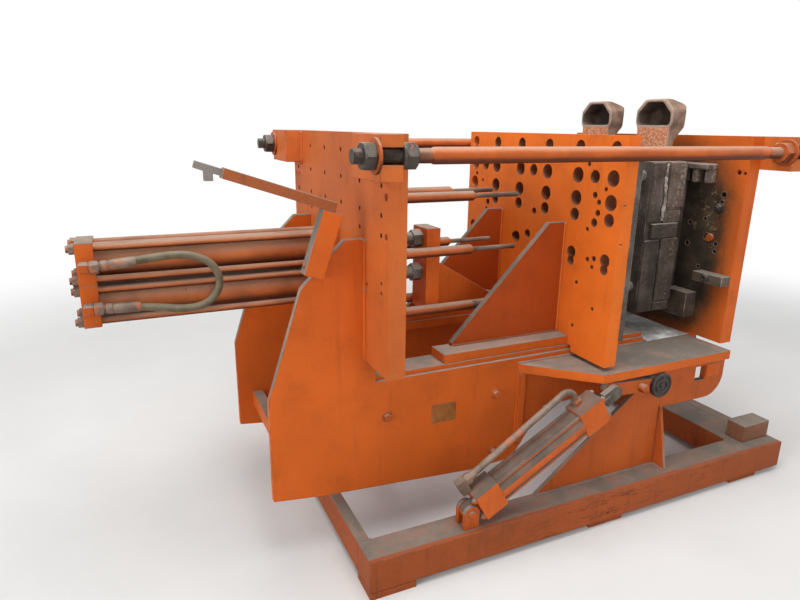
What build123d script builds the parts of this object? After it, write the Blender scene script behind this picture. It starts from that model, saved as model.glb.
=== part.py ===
from build123d import *
import math
import os

# Tilting permanent-mould casting machine, in millimetres. X runs along the machine, from the clamp
# cylinders to the fixed platen. The front side is at low Y, and Z is up. The origin is on the floor, under
# the middle of the base skid. The tilt frame and all that it carries turn about the pivot in the base.

# Base skid
skid_length = 1970.0
skid_width = 1206.0
rail_width = 115.0
rail_height = 117.0
pad_height = 25.0
pad_length = 163.0
pad_width = 90.0
pad_inset = 130.0
left_member_width = 42.0
right_member_width = 153.0
end_channel_width = 62.0
end_channel_web = 10.0
stop_length = 162.0
stop_width = 85.0
stop_height = 78.0
stop_inset = 15.0
stop_inner_y = 455.0

# Uprights, which carry the pivot
pivot_x = 255.0
pivot_z = 515.0
upright_thickness = 16.0
upright_foot_left = -283.0
upright_right = 322.0
upright_shoulder_z = 405.0
upright_slope_x = 152.0
upright_slope_z = 474.0
upright_head_lean = 20.0
bearing_radius = 42.0
upright_gusset_reach = 62.0
upright_gusset_thickness = 14.0
shaft_radius = 27.0
shaft_clearance = 0.05
side_gap = 5.0
seat_gap = 0.3

# Tilt cylinders
base_pin_x = -603.0
base_pin_z = 200.0
lever_pin_x = 7.0
lever_pin_z = 533.0
cylinder_y = 551.0
head_width = 84.0
head_height = 106.0
cap_head_start = 36.0
cap_head_length = 92.0
rod_head_start = 509.0
rod_head_length = 108.0
tilt_tube_radius = 45.0
tilt_bore_radius = 38.0
tilt_rod_radius = 17.5
tilt_piston_length = 36.0
tilt_piston_gap = 6.0
tilt_stay_radius = 7.0
tilt_stay_inset = 13.0
tilt_stay_stub = 12.0
eye_radius = 27.0
eye_width = 24.0
rod_eye_block = 24.0
base_pin_radius = 14.0
base_pin_stub = 8.0
clevis_thickness = 16.0
clevis_width = 60.0
clevis_gap = 2.0
lever_thickness = 24.0
lever_end_radius = 30.0
lever_bar_half = 26.0
lever_hub_radius = 44.0
hub_cap_radius = 47.0
hub_cap_thickness = 12.0
pipe_radius = 12.5
pipe_bend_radius = 38.0
pipe_y = 530.0
pipe_start = 46.0
pipe_start_height = 92.0
pipe_end = 548.0
pipe_end_height = 128.0
tee_size = 34.0

# Tilt frame
side_plate_outer = 316.0
side_plate_thickness = 26.0
beam_top = 625.0
beam_end = 637.5
frame_left = -1220.0
frame_corner_x = -1050.0
frame_corner_z = 228.0
frame_corner_rise = 20.0
frame_belly_x = -450.0
frame_belly_z = 187.0
frame_belly_rise = 10.0
frame_toe_z = 400.0
frame_toe_rise_x = -120.0
brace_top = 1124.0
brace_top_width = 68.0
brace_shoulder_x = -1103.0
brace_shoulder_z = 977.0
brace_knee_z = 612.0
spacer_length = 40.0
way_height = 17.0
way_inner = 196.0
way_outer = 304.0
way_end = 375.0
way_tongue = 20.0
tie_bar_height = 60.0
tie_bar_thickness = 40.0
tie_bar_inset = 60.0
left_tie_bar_z = 330.0
low_tie_bar_z = 240.0
low_tie_bar_x = 700.0
middle_tie_bar_x = 300.0
toe_tie_bar_inset = 77.5
toe_tie_bar_rise = 20.0
shelf_thickness = 38.0
shelf_top = 601.0
shelf_reach = 534.0
shelf_left = -264.0
shelf_corner = -29.0
shelf_rib_thickness = 27.0
shelf_rib_inset = 9.0
shelf_rib_depth = 14.0
shelf_rib_bottom = 264.0
hanging_plate_outer = 480.0
hanging_plate_thickness = 25.0
hanging_plate_left = 150.0
hanging_plate_right = 687.0
hanging_plate_bottom = 377.0
hanging_plate_round = 95.0
hanging_plate_cut = 47.5
window_left = 518.0
window_width = 58.0
window_bottom = 462.0
window_height = 62.0
catch_block_length = 105.0
catch_block_height = 70.0
catch_block_thickness = 22.0
catch_block_drop = 5.0
cover_left = 400.0
cover_thickness = 3.0

# Platens
platen_top = 1450.0
left_platen_x = -889.0
left_platen_thickness = 57.0
left_platen_width = 1022.0
left_platen_bottom = 710.0
moving_platen_x = -18.5
moving_platen_thickness = 54.0
moving_platen_width = 1022.0
moving_platen_bottom = 617.0
right_platen_thickness = 61.0
right_platen_width = 960.0
right_platen_bottom = 612.0
right_platen_foot = 440.0
opening_stroke = 220.0
locator_depth = 50.0
locator_margin = 2.0
locator_length = 140.0
locator_bottom = 860.0
locator_height = 40.0
bracket_depth = 60.0
bracket_inner = 211.0
bracket_outer = 330.0
bracket_bottom = 690.0
bracket_height = 110.0

# Rod holes in the moving platen
hole_pitch = 183.0
top_row_z = 1407.0
second_row_z = 1304.0
third_row_z = 1219.0
fourth_row_z = 1158.0
fifth_row_z = 1012.0
large_hole_radius = 29.0
middle_hole_radius = 24.0
small_hole_radius = 19.0
twin_hole_drop = 34.0
tapped_hole_radius = 8.0
tapped_pitch = 180.0
tapped_rows = (1393.0, 1303.0, 1216.0, 1156.0)

# Tie rods
tie_rod_radius = 24.0
tie_neck_radius = 21.0
left_thread_length = 95.0
right_thread_length = 115.0
tie_rod_y = 577.0
tie_rod_z = 1393.0
left_lug_thickness = 68.0
right_lug_thickness = 57.0
lug_height = 125.0
lug_lip = 27.0
left_lug_length = 219.0
right_lug_length = 134.0
lug_slot_height = 46.0
nut_across_flats = 70.0
nut_height = 36.0
washer_radius = 48.5
small_washer_radius = 38.0
washer_thickness = 8.0
thread_stub = 26.0

# Clamp cylinders and their crosshead
clamp_left = -1727.0
clamp_width = 144.0
clamp_height = 133.0
clamp_middle_z = 985.5
clamp_head_length = 50.0
clamp_tube_radius = 57.0
clamp_bore_radius = 50.0
clamp_stay_radius = 11.0
clamp_stay_inset = 17.0
clamp_stay_end = 24.0
clamp_rod_radius = 25.0
clamp_rod_gap = 1.0
clamp_piston_length = 50.0
clamp_piston_gap = 20.0
crosshead_right = -478.0
crosshead_thickness = 58.0
crosshead_width = 120.0
crosshead_bottom = 770.0
crosshead_top = 1096.0
rod_nut_flats = 62.0
rod_nut_height = 40.0
web_thickness = 24.0
web_flat = 34.0
web_top = 945.0
web_shoulder_z = 887.0
web_shoulder_x = 131.0
web_waist_z = 810.0
web_waist_x = 256.0
web_toe_z = 770.0
hose_radius = 12.5
hose_y = 92.0
elbow_size = 28.0
port_offset = 65.5
port_middle_z = 982.5
elbow_x = 21.0
hose_low_reach = 96.0
hose_top_reach = 191.0
hose_top_end = 279.0
hose_bend_reach = 357.0
hose_loop_reach = 386.0
hose_low_bend_reach = 342.0
hose_low_end = 264.0
hose_low_middle = 186.0
hose_low_start = 101.0
hose_rise = 8.0
hose_top_rise = 20.0
hose_top_level = 24.0
hose_bend_drop = 8.0
hose_loop_drop = 14.5
hose_low_bend_drop = 17.0
hose_low_level = 28.0
hose_low_rise = 12.0
hose_low_tail = 3.0

# Slide feet and gussets of the moving platen
foot_left = -577.0
foot_inner = 200.0
foot_outer = 300.0
foot_height = 35.0
gusset_y = 218.0
gusset_thickness = 24.0
gusset_left = -508.0
gusset_top = 1121.0
gusset_top_width = 78.0
gusset_toe = 12.0

# Bumper rods
bumper_radius = 19.0
bumper_tip_radius = 9.0
bumper_y = 91.5
bumper_shoulder = -348.0
bumper_tip = -158.0
bumper_taper = 14.0
low_bumper_z = 786.0
low_bumper_end = -262.0

# Mould
backing_plate_x = 68.0
backing_plate_thickness = 24.0
backing_plate_half = 480.0
backing_plate_bottom = 700.0
backing_plate_top = 1410.0
pillar_radius = 22.0
pillar_y = 235.0
pillar_low_z = 830.0
pillar_high_z = 1290.0
mould_left = 345.0
mould_seam = 432.0
mould_right = 528.0
mould_half_width = 280.0
mould_bottom = 722.0
mould_top = 1348.0
riser_y = 170.0
riser_width = 70.0
riser_inset = 40.0
parting_gap = 0.3

# Pouring cups, whose mouths face the moving platen and come level when the frame is tilted
cup_y = 170.0
cup_width = 194.0
cup_foot_width = 168.0
cup_floor_rise = 127.0
cup_belly_rise = 150.0
cup_top_rise = 242.0
cup_round = 44.0
cup_wall = 14.0
cup_depth = 121.0
cup_flat = 40.0
cup_hood_reach = 87.0
cup_hood_drop = 18.0
cup_back_drop = 45.0
cup_nose_drop = 62.0
cup_waist_reach = 102.0
cup_waist_rise = 143.0
cup_tail_reach = 74.0
cup_tail_rise = 114.0
cup_foot_reach = 42.0
cup_foot_rise = 78.0
cup_corner_reach = 73.0

# Side bracket and its bar
bracket_foot_inset = 31.0
bracket_foot_rise = 45.0
bracket_lean = 18.4
bracket_length = 208.0
bracket_width = 65.0
bracket_thickness = 45.0
arm_length = 342.0
arm_depth = 30.0
arm_overhang = 5.0
arm_tip_length = 76.0
arm_tip_depth = 20.0
arm_tip_thickness = 26.0
arm_tip_drop = 44.0
arm_hook_width = 24.0


def box(x0, x1, y0, y1, z0, z1):
    """A box between two corners."""
    return Pos((x0 + x1) / 2, (y0 + y1) / 2, (z0 + z1) / 2) * Box(x1 - x0, y1 - y0, z1 - z0)


def plate_xz(points, y0, y1):
    """A plate between two Y planes, whose outline is given in X and Z."""
    plane = Plane(origin=(0, y1, 0), x_dir=(1, 0, 0), z_dir=(0, -1, 0))
    return extrude(plane * make_face(Polyline(points, close=True)), y1 - y0)


def plate_yz(points, x0, x1):
    """A plate between two X planes, whose outline is given in Y and Z."""
    plane = Plane(origin=(x0, 0, 0), x_dir=(0, 1, 0), z_dir=(1, 0, 0))
    return extrude(plane * make_face(Polyline(points, close=True)), x1 - x0)


def rod_x(x0, x1, y, z, radius):
    """A round bar along X."""
    return Pos((x0 + x1) / 2, y, z) * Rot(0, 90, 0) * Cylinder(radius, x1 - x0)


def rod_y(y0, y1, x, z, radius):
    """A round bar along Y."""
    return Pos(x, (y0 + y1) / 2, z) * Rot(90, 0, 0) * Cylinder(radius, y1 - y0)


def hex_x(x0, x1, y, z, flats, turn=0):
    """A hexagon along X, with two of its flats upright before its turn."""
    outline = RegularPolygon(flats / math.sqrt(3), 6, rotation=turn)
    return Pos(x0, y, z) * Rot(0, 90, 0) * extrude(outline, x1 - x0)


def link(x0, z0, x1, z1, y0, y1, half_height):
    """A flat bar between two points of an X and Z plane."""
    length = math.hypot(x1 - x0, z1 - z0)
    lean = math.degrees(math.atan2(z1 - z0, x1 - x0))
    bar = Box(length, y1 - y0, 2 * half_height)
    return Pos((x0 + x1) / 2, (y0 + y1) / 2, (z0 + z1) / 2) * Rot(0, -lean, 0) * bar


def far(shape):
    """The same piece on the far side."""
    return mirror(shape, Plane.XZ)


def save(name, *solids):
    """Writes one node, which may hold several solids that stand apart."""
    shape = solids[0] if len(solids) == 1 else Compound(children=list(solids))
    export_step(shape, f"parts/{name}.step")


def save_pair(name, *solids):
    """Writes a near node and its mirror image on the far side."""
    save(f"near_{name}", *solids)
    save(f"far_{name}", *[far(solid) for solid in solids])


def save_both(name, *solids):
    """Writes one node with the near solids and their mirror images."""
    save(name, *solids, *[far(solid) for solid in solids])


# Base skid

half_length = skid_length / 2
half_width = skid_width / 2
rail_inner = half_width - rail_width
rail_top = pad_height + rail_height
channel_x = half_length - end_channel_width


def base_skid():
    save_pair("rail", box(-half_length, half_length, -half_width, -rail_inner, pad_height, rail_top))
    save("left_cross_member", box(-half_length, -half_length + left_member_width, -rail_inner, rail_inner,
                                  pad_height, rail_top))
    save("right_cross_member", box(channel_x - right_member_width, channel_x, -rail_inner, rail_inner,
                                   pad_height, rail_top))
    channel = box(channel_x, half_length, -rail_inner, rail_inner, pad_height, rail_top)
    channel -= box(channel_x + end_channel_web, half_length + 1, -rail_inner - 1, rail_inner + 1,
                   pad_height + end_channel_web, rail_top - end_channel_web)
    save("end_channel", channel)
    pad_y = half_width - rail_width / 2
    pads = []
    for left, width in ((-half_length, rail_width), (-pad_length / 2, pad_width),
                        (half_length - pad_inset - pad_length, pad_width)):
        for y in (-pad_y, pad_y):
            pads.append(box(left, left + pad_length, y - width / 2, y + width / 2, 0, pad_height))
    save("foot_pads", *pads)
    stop_right = half_length - stop_inset
    save_both("stop_blocks", box(stop_right - stop_length, stop_right, -stop_inner_y - stop_width,
                                 -stop_inner_y, rail_top, rail_top + stop_height))


# Uprights

upright_outer = rail_inner + upright_thickness


def uprights():
    tangent = bearing_radius * math.cos(math.radians(upright_head_lean))
    plate = plate_xz([(upright_foot_left, rail_top), (upright_right, rail_top),
                      (upright_right, upright_shoulder_z), (pivot_x + tangent, pivot_z),
                      (pivot_x, pivot_z + bearing_radius / 2), (upright_slope_x, upright_slope_z)],
                     -upright_outer, -rail_inner)
    plate += rod_y(-upright_outer, -rail_inner, pivot_x, pivot_z, bearing_radius)
    plate += plate_yz([(-upright_outer - upright_gusset_reach, rail_top), (-upright_outer, rail_top),
                       (-upright_outer, upright_shoulder_z)],
                      upright_right - upright_gusset_thickness, upright_right)
    plate -= rod_y(-upright_outer - 1, -rail_inner + 1, pivot_x, pivot_z, shaft_radius + shaft_clearance)
    save_pair("upright", plate)


# Tilt cylinders, each modelled along its own axis from the base pin and then turned into place

pin_distance = math.hypot(lever_pin_x - base_pin_x, lever_pin_z - base_pin_z)
cylinder_lean = math.degrees(math.atan2(lever_pin_z - base_pin_z, lever_pin_x - base_pin_x))
cap_head_end = cap_head_start + cap_head_length
rod_head_end = rod_head_start + rod_head_length


def placed(shape):
    """From the cylinder's own frame to the machine's."""
    return Pos(base_pin_x, -cylinder_y, base_pin_z) * Rot(0, -cylinder_lean, 0) * shape


def base_clevis():
    cheek_inner = eye_width / 2 + clevis_gap
    cheeks = []
    for y in (-cylinder_y - cheek_inner - clevis_thickness, -cylinder_y + cheek_inner):
        cheek = box(base_pin_x - clevis_width / 2, base_pin_x + clevis_width / 2, y, y + clevis_thickness,
                    rail_top, base_pin_z)
        cheek += rod_y(y, y + clevis_thickness, base_pin_x, base_pin_z, clevis_width / 2)
        cheeks.append(cheek & box(base_pin_x - clevis_width, base_pin_x + clevis_width,
                                  y, y + clevis_thickness, rail_top, base_pin_z + clevis_width))
    pin_reach = cheek_inner + clevis_thickness
    pin = rod_y(-cylinder_y - pin_reach - base_pin_stub, -cylinder_y + pin_reach, base_pin_x, base_pin_z,
                base_pin_radius)
    save_both("cylinder_clevises", cheeks[0] + cheeks[1] + pin)


def tilt_cylinder():
    barrel = Rot(90, 0, 0) * Cylinder(eye_radius, eye_width)
    barrel += box(0, cap_head_start, -eye_width / 2, eye_width / 2, -eye_radius, eye_radius)
    for start, length in ((cap_head_start, cap_head_length), (rod_head_start, rod_head_length)):
        barrel += box(start, start + length, -head_width / 2, head_width / 2,
                      -head_height / 2, head_height / 2)
    barrel += rod_x(cap_head_end, rod_head_start, 0, 0, tilt_tube_radius)
    stay_y = head_width / 2 - tilt_stay_inset
    stay_z = head_height / 2 - tilt_stay_inset
    for y in (-stay_y, stay_y):
        for z in (-stay_z, stay_z):
            barrel += rod_x(cap_head_start + 1, rod_head_end + tilt_stay_stub, y, z, tilt_stay_radius)
    barrel -= rod_x(cap_head_end, rod_head_start, 0, 0, tilt_bore_radius)
    barrel -= rod_x(rod_head_start - 1, rod_head_end + 1, 0, 0, tilt_rod_radius + shaft_clearance)
    barrel -= Rot(90, 0, 0) * Cylinder(base_pin_radius + shaft_clearance, eye_width + 2)
    save_pair("tilt_cylinder", placed(barrel))

    piston_x = cap_head_end + tilt_piston_gap
    rod = rod_x(piston_x, piston_x + tilt_piston_length, 0, 0, tilt_bore_radius - shaft_clearance)
    rod += rod_x(piston_x + tilt_piston_length - 1, pin_distance - eye_radius, 0, 0, tilt_rod_radius)
    rod += box(pin_distance - eye_radius - rod_eye_block, pin_distance, -eye_width / 2, eye_width / 2,
               -eye_radius, eye_radius)
    rod += Pos(pin_distance, 0, 0) * Rot(90, 0, 0) * Cylinder(eye_radius, eye_width)
    save_pair("tilt_rod", placed(rod))

    y = cylinder_y - pipe_y
    head_top = head_height / 2
    path = FilletPolyline((pipe_start, y, pipe_start_height), (pipe_end, y, pipe_end_height),
                          (pipe_end, y, head_top), radius=pipe_bend_radius)
    pipe = sweep(Plane(origin=path @ 0, z_dir=path % 0) * Circle(pipe_radius), path=path)
    tee = box(pipe_start - tee_size, pipe_start, y - tee_size / 2, y + tee_size / 2, head_top,
              pipe_start_height + tee_size / 2)
    save_pair("cylinder_pipe", placed(pipe + tee))


# Tilt frame

side_plate_inner = side_plate_outer - side_plate_thickness
way_top = beam_top + way_height
left_platen_right = left_platen_x + left_platen_thickness


def side_plates():
    outline = [(left_platen_x, brace_top), (left_platen_x - brace_top_width, brace_top),
               (brace_shoulder_x, brace_shoulder_z), (frame_left, brace_knee_z),
               (frame_left, frame_corner_z + frame_corner_rise), (frame_corner_x, frame_corner_z),
               (frame_belly_x, frame_belly_z), (shelf_left, frame_belly_z + frame_belly_rise),
               (frame_toe_rise_x, frame_toe_z), (beam_end, frame_toe_z), (beam_end, shelf_top),
               (way_end, shelf_top), (way_end, beam_top), (left_platen_x + spacer_length, beam_top),
               (left_platen_x + spacer_length, left_platen_bottom), (left_platen_x, left_platen_bottom)]
    save_pair("side_plate", plate_xz(outline, -side_plate_outer, -side_plate_inner))
    way = box(left_platen_x + spacer_length, way_end, -way_outer, -way_inner, beam_top, way_top)
    way += box(left_platen_x + spacer_length, way_end, -side_plate_inner, -way_inner,
               beam_top - way_tongue, beam_top)
    save_both("ways", way)
    ties = []
    for x, z in ((frame_left + tie_bar_inset, left_tie_bar_z), (-low_tie_bar_x, low_tie_bar_z),
                 (-middle_tie_bar_x, low_tie_bar_z),
                 (beam_end - toe_tie_bar_inset, frame_toe_z + toe_tie_bar_rise)):
        ties.append(box(x, x + tie_bar_thickness, -side_plate_inner, side_plate_inner, z, z + tie_bar_height))
    save("frame_tie_bars", *ties)


def shelves():
    outline = Polyline((shelf_left, -side_plate_outer), (shelf_corner, -shelf_reach),
                       (beam_end, -shelf_reach), (beam_end, -side_plate_outer), close=True)
    save_pair("shelf", Pos(0, 0, shelf_top - shelf_thickness) * extrude(make_face(outline), shelf_thickness))
    shelf_bottom = shelf_top - shelf_thickness
    rib_left = shelf_left + shelf_rib_inset
    rib = box(rib_left, rib_left + shelf_rib_thickness, -side_plate_outer - shelf_rib_depth,
              -side_plate_outer, shelf_rib_bottom, shelf_bottom)
    save_both("shelf_ribs", rib)
    plate = box(hanging_plate_left, hanging_plate_right, -hanging_plate_outer,
                -hanging_plate_outer + hanging_plate_thickness, hanging_plate_bottom, shelf_bottom)
    corner = plate.edges().filter_by(Axis.Y).sort_by(lambda e: e.center().X - e.center().Z)[-1]
    plate = fillet(corner, hanging_plate_round)
    left_corner = plate.edges().filter_by(Axis.Y).sort_by(lambda e: e.center().X + e.center().Z)[0]
    plate = chamfer(left_corner, hanging_plate_cut)
    plate -= box(window_left, window_left + window_width, -hanging_plate_outer - 1,
                 -hanging_plate_outer + hanging_plate_thickness + 1, window_bottom,
                 window_bottom + window_height)
    block_z = window_bottom - catch_block_drop
    plate += box(window_left + window_width, window_left + window_width + catch_block_length,
                 -hanging_plate_outer, -hanging_plate_outer + catch_block_thickness, block_z,
                 block_z + catch_block_height)
    save_both("hanging_plates", plate)
    save("cover_sheet", box(cover_left, beam_end, -side_plate_outer, side_plate_outer,
                            shelf_top, shelf_top + cover_thickness))


def levers():
    inner = upright_outer + side_gap
    outer = inner + lever_thickness
    lever = rod_y(-outer, -inner, pivot_x, pivot_z, lever_hub_radius)
    lever += rod_y(-outer, -inner, lever_pin_x, lever_pin_z, lever_end_radius)
    lever += link(pivot_x, pivot_z, lever_pin_x, lever_pin_z, -outer, -inner, lever_bar_half)
    lever += rod_y(-outer - hub_cap_thickness, -outer, pivot_x, pivot_z, hub_cap_radius)
    lever += rod_y(-outer, -hanging_plate_outer, pivot_x, pivot_z, shaft_radius)
    save_pair("pivot_lever", lever)


# Platens

right_platen_right = beam_end + right_platen_thickness
moving_platen_right = moving_platen_x + moving_platen_thickness


def left_platen():
    plate = box(left_platen_x, left_platen_right, -left_platen_width / 2, left_platen_width / 2,
                left_platen_bottom, platen_top)
    for row in tapped_rows:
        for column in (-2.5, -1.5, -0.5, 0.5, 1.5, 2.5):
            plate -= rod_x(left_platen_x - 1, left_platen_right + 1, column * tapped_pitch, row,
                           tapped_hole_radius)
    for z in clamp_axes:
        plate -= rod_x(left_platen_x - 1, left_platen_right + 1, 0, z, clamp_rod_radius + clamp_rod_gap)
    save("left_platen", plate)


def right_platen():
    plate = box(beam_end, right_platen_right, -right_platen_width / 2, right_platen_width / 2,
                right_platen_bottom, platen_top)
    plate += box(beam_end, right_platen_right, -side_plate_outer, side_plate_outer, right_platen_foot,
                 right_platen_bottom)
    save("right_platen", plate)
    outer = right_platen_width / 2 - locator_margin
    locator = box(beam_end - locator_depth, beam_end, -outer, -outer + locator_length,
                  locator_bottom, locator_bottom + locator_height)
    bracket = box(beam_end - bracket_depth, beam_end, -bracket_outer, -bracket_inner, bracket_bottom,
                  bracket_bottom + bracket_height)
    save_both("platen_brackets", locator, bracket)


def moving_platen():
    plate = box(moving_platen_x, moving_platen_right, -moving_platen_width / 2, moving_platen_width / 2,
                moving_platen_bottom, platen_top)
    plate -= box(moving_platen_x - 1, moving_platen_right + 1, -side_plate_outer - side_gap,
                 side_plate_outer + side_gap, moving_platen_bottom - 1, way_top + seat_gap)
    columns = (-2.5, -1.5, -0.5, 0.5, 1.5, 2.5)
    for row, radius in ((top_row_z, middle_hole_radius), (second_row_z, large_hole_radius),
                        (third_row_z, large_hole_radius), (fourth_row_z, middle_hole_radius)):
        for column in columns:
            plate -= rod_x(moving_platen_x - 1, moving_platen_right + 1, column * hole_pitch, row, radius)
    for column in (-2, 0, 2):
        plate -= rod_x(moving_platen_x - 1, moving_platen_right + 1, column * hole_pitch, second_row_z,
                       middle_hole_radius)
    for column in columns:
        plate -= rod_x(moving_platen_x - 1, moving_platen_right + 1, column * hole_pitch, fifth_row_z,
                       middle_hole_radius)
    for column in (-2.5, -1.5):
        plate -= rod_x(moving_platen_x - 1, moving_platen_right + 1, column * hole_pitch,
                       fifth_row_z - twin_hole_drop, small_hole_radius)
    save("moving_platen", plate)


# Lugs and tie rods

left_lug_x = left_platen_x - left_lug_thickness
right_lug_right = right_platen_right + right_lug_thickness
lug_outer = tie_rod_y + lug_lip


def lug(x0, x1, inner):
    """A block with a slot for the tie rod, open to the outside."""
    block = box(x0, x1, -lug_outer, -inner, platen_top - lug_height, platen_top)
    block -= box(x0 - 1, x1 + 1, -lug_outer - 1, -tie_rod_y, tie_rod_z - lug_slot_height / 2,
                 tie_rod_z + lug_slot_height / 2)
    return block - rod_x(x0 - 1, x1 + 1, -tie_rod_y, tie_rod_z, lug_slot_height / 2)


def tie_nut(face, direction, flange_radius):
    """A washer on a face and a nut on the washer, both open for the thread."""
    washer_end = face + direction * washer_thickness
    nut_end = washer_end + direction * nut_height
    start, end = min(face, nut_end), max(face, nut_end)
    piece = rod_x(min(face, washer_end), max(face, washer_end), -tie_rod_y, tie_rod_z, flange_radius)
    piece += hex_x(min(washer_end, nut_end), max(washer_end, nut_end), -tie_rod_y, tie_rod_z,
                   nut_across_flats, 30)
    return piece - rod_x(start - 1, end + 1, -tie_rod_y, tie_rod_z, tie_neck_radius)


def tie_rods():
    left_lug = lug(left_lug_x, left_platen_x, lug_outer - left_lug_length)
    right_lug = lug(right_platen_right, right_lug_right, lug_outer - right_lug_length)
    save_both("tie_lugs", left_lug, right_lug)
    end_reach = washer_thickness + nut_height + thread_stub
    rod = rod_x(left_lug_x - end_reach, right_lug_right + end_reach, -tie_rod_y, tie_rod_z, tie_neck_radius)
    rod += rod_x(left_platen_x + left_thread_length, right_platen_right - right_thread_length, -tie_rod_y,
                 tie_rod_z, tie_rod_radius)
    save_both("tie_rods", rod)
    nuts = [tie_nut(left_lug_x, -1, washer_radius), tie_nut(left_platen_x, 1, small_washer_radius),
            tie_nut(right_platen_right, -1, washer_radius), tie_nut(right_lug_right, 1, washer_radius)]
    save_both("tie_nuts", *nuts)


# Clamp cylinders

clamp_axes = (clamp_middle_z + clamp_height / 2, clamp_middle_z - clamp_height / 2)


def clamp_cylinder(z):
    """One cylinder with square heads and four stay rods, open inside."""
    low = z - clamp_height / 2
    high = z + clamp_height / 2
    inner_left = clamp_left + clamp_head_length
    inner_right = left_platen_x - clamp_head_length
    body = box(clamp_left, inner_left, -clamp_width / 2, clamp_width / 2, low, high)
    body += box(inner_right, left_platen_x, -clamp_width / 2, clamp_width / 2, low, high)
    body += rod_x(inner_left, inner_right, 0, z, clamp_tube_radius)
    for y in (-clamp_width / 2 + clamp_stay_inset, clamp_width / 2 - clamp_stay_inset):
        for stay_z in (low + clamp_stay_inset, high - clamp_stay_inset):
            body += rod_x(clamp_left - clamp_stay_end, left_platen_x - 1, y, stay_z, clamp_stay_radius)
    body -= rod_x(inner_left, inner_right, 0, z, clamp_bore_radius)
    return body - rod_x(inner_right - 1, left_platen_x + 1, 0, z, clamp_rod_radius + shaft_clearance)


def clamp_group():
    save("upper_clamp_cylinder", clamp_cylinder(clamp_axes[0]))
    save("lower_clamp_cylinder", clamp_cylinder(clamp_axes[1]))
    elbow_left = clamp_left + elbow_x - elbow_size / 2
    elbow_right = elbow_left + elbow_size
    upper = port_middle_z + port_offset
    lower = port_middle_z - port_offset
    fittings = []
    for z in (upper, lower):
        fittings.append(box(elbow_left, elbow_right, -hose_y - elbow_size / 2, -clamp_width / 2,
                            z - elbow_size / 2, z + elbow_size / 2))
    route = [(hose_low_reach, upper + hose_rise), (hose_top_reach, upper + hose_top_rise),
             (hose_top_end, upper + hose_top_level), (hose_bend_reach, upper - hose_bend_drop),
             (hose_loop_reach, port_middle_z - hose_loop_drop),
             (hose_low_bend_reach, lower - hose_low_bend_drop),
             (hose_low_end, lower - hose_low_level), (hose_low_middle, lower - hose_low_rise),
             (hose_low_start, lower - hose_low_tail)]
    points = [(elbow_right, -hose_y, upper)]
    points += [(elbow_right + reach, -hose_y, z) for reach, z in route]
    points.append((elbow_right, -hose_y, lower))
    path = FilletPolyline(*points, radius=bend_radii(points))
    hose = sweep(Plane(origin=path @ 0, z_dir=path % 0) * Circle(hose_radius), path=path)
    print("hose", hose.volume, math.pi * hose_radius ** 2 * path.length)
    save("clamp_hose", fittings[0] + hose + fittings[1])


def bend_radii(points):
    """A radius for each corner of a route, as large as its two runs allow."""
    radii = []
    for before, corner, after in zip(points, points[1:], points[2:]):
        run_in = Vector(corner) - Vector(before)
        run_out = Vector(after) - Vector(corner)
        turn = math.radians(run_in.get_angle(run_out))
        radii.append(0.45 * min(run_in.length, run_out.length) / math.tan(turn / 2))
    print("radii", [round(radius) for radius in radii])
    return radii


def crosshead():
    left = crosshead_right - crosshead_thickness
    bar = box(left, crosshead_right, -crosshead_width / 2, crosshead_width / 2,
              crosshead_bottom, crosshead_top)
    for z in clamp_axes:
        bar -= rod_x(left - 1, crosshead_right + 1, 0, z, clamp_rod_radius)
    save("crosshead_bar", bar)
    web = plate_xz([(crosshead_right, web_top), (crosshead_right + web_flat, web_top),
                    (crosshead_right + web_shoulder_x, web_shoulder_z),
                    (crosshead_right + web_waist_x, web_waist_z),
                    (moving_platen_x, web_toe_z), (moving_platen_x, way_top + foot_height),
                    (crosshead_right, crosshead_bottom)], -web_thickness / 2, web_thickness / 2)
    save("crosshead_web", web)
    rods = []
    for z in clamp_axes:
        piston_x = left_platen_x - clamp_head_length - opening_stroke - clamp_piston_length - clamp_piston_gap
        rod = rod_x(piston_x, piston_x + clamp_piston_length, 0, z, clamp_bore_radius - shaft_clearance)
        rod += rod_x(piston_x + clamp_piston_length - 1, crosshead_right, 0, z, clamp_rod_radius)
        rod += hex_x(left - rod_nut_height, left, 0, z, rod_nut_flats)
        rods.append(rod)
    save("clamp_piston_rods", *rods)


def slide_feet():
    bottom = way_top + foot_height
    save_both("slide_feet", box(foot_left, moving_platen_x, -foot_outer, -foot_inner,
                                way_top + seat_gap, bottom))
    outline = [(gusset_left, bottom), (gusset_left, bottom + gusset_toe),
               (moving_platen_x - gusset_top_width, gusset_top), (moving_platen_x, gusset_top),
               (moving_platen_x, bottom)]
    half = gusset_thickness / 2
    save_both("platen_gussets", plate_xz(outline, -gusset_y - half, -gusset_y + half))


def bumper_rods():
    rods = []
    for z in (third_row_z, fifth_row_z):
        for y in (-bumper_y, bumper_y):
            rod = rod_x(left_platen_right, bumper_shoulder - bumper_taper, y, z, bumper_radius)
            cone = Cone(bumper_radius, bumper_tip_radius, bumper_taper)
            rod += Pos(bumper_shoulder - bumper_taper / 2, y, z) * Rot(0, 90, 0) * cone
            rod += rod_x(bumper_shoulder - 1, bumper_tip, y, z, bumper_tip_radius)
            rods.append(rod)
    for y in (-bumper_y, bumper_y):
        rods.append(rod_x(left_platen_right, low_bumper_end, y, low_bumper_z, bumper_radius))
    save("bumper_rods", *rods)


# Mould

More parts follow.
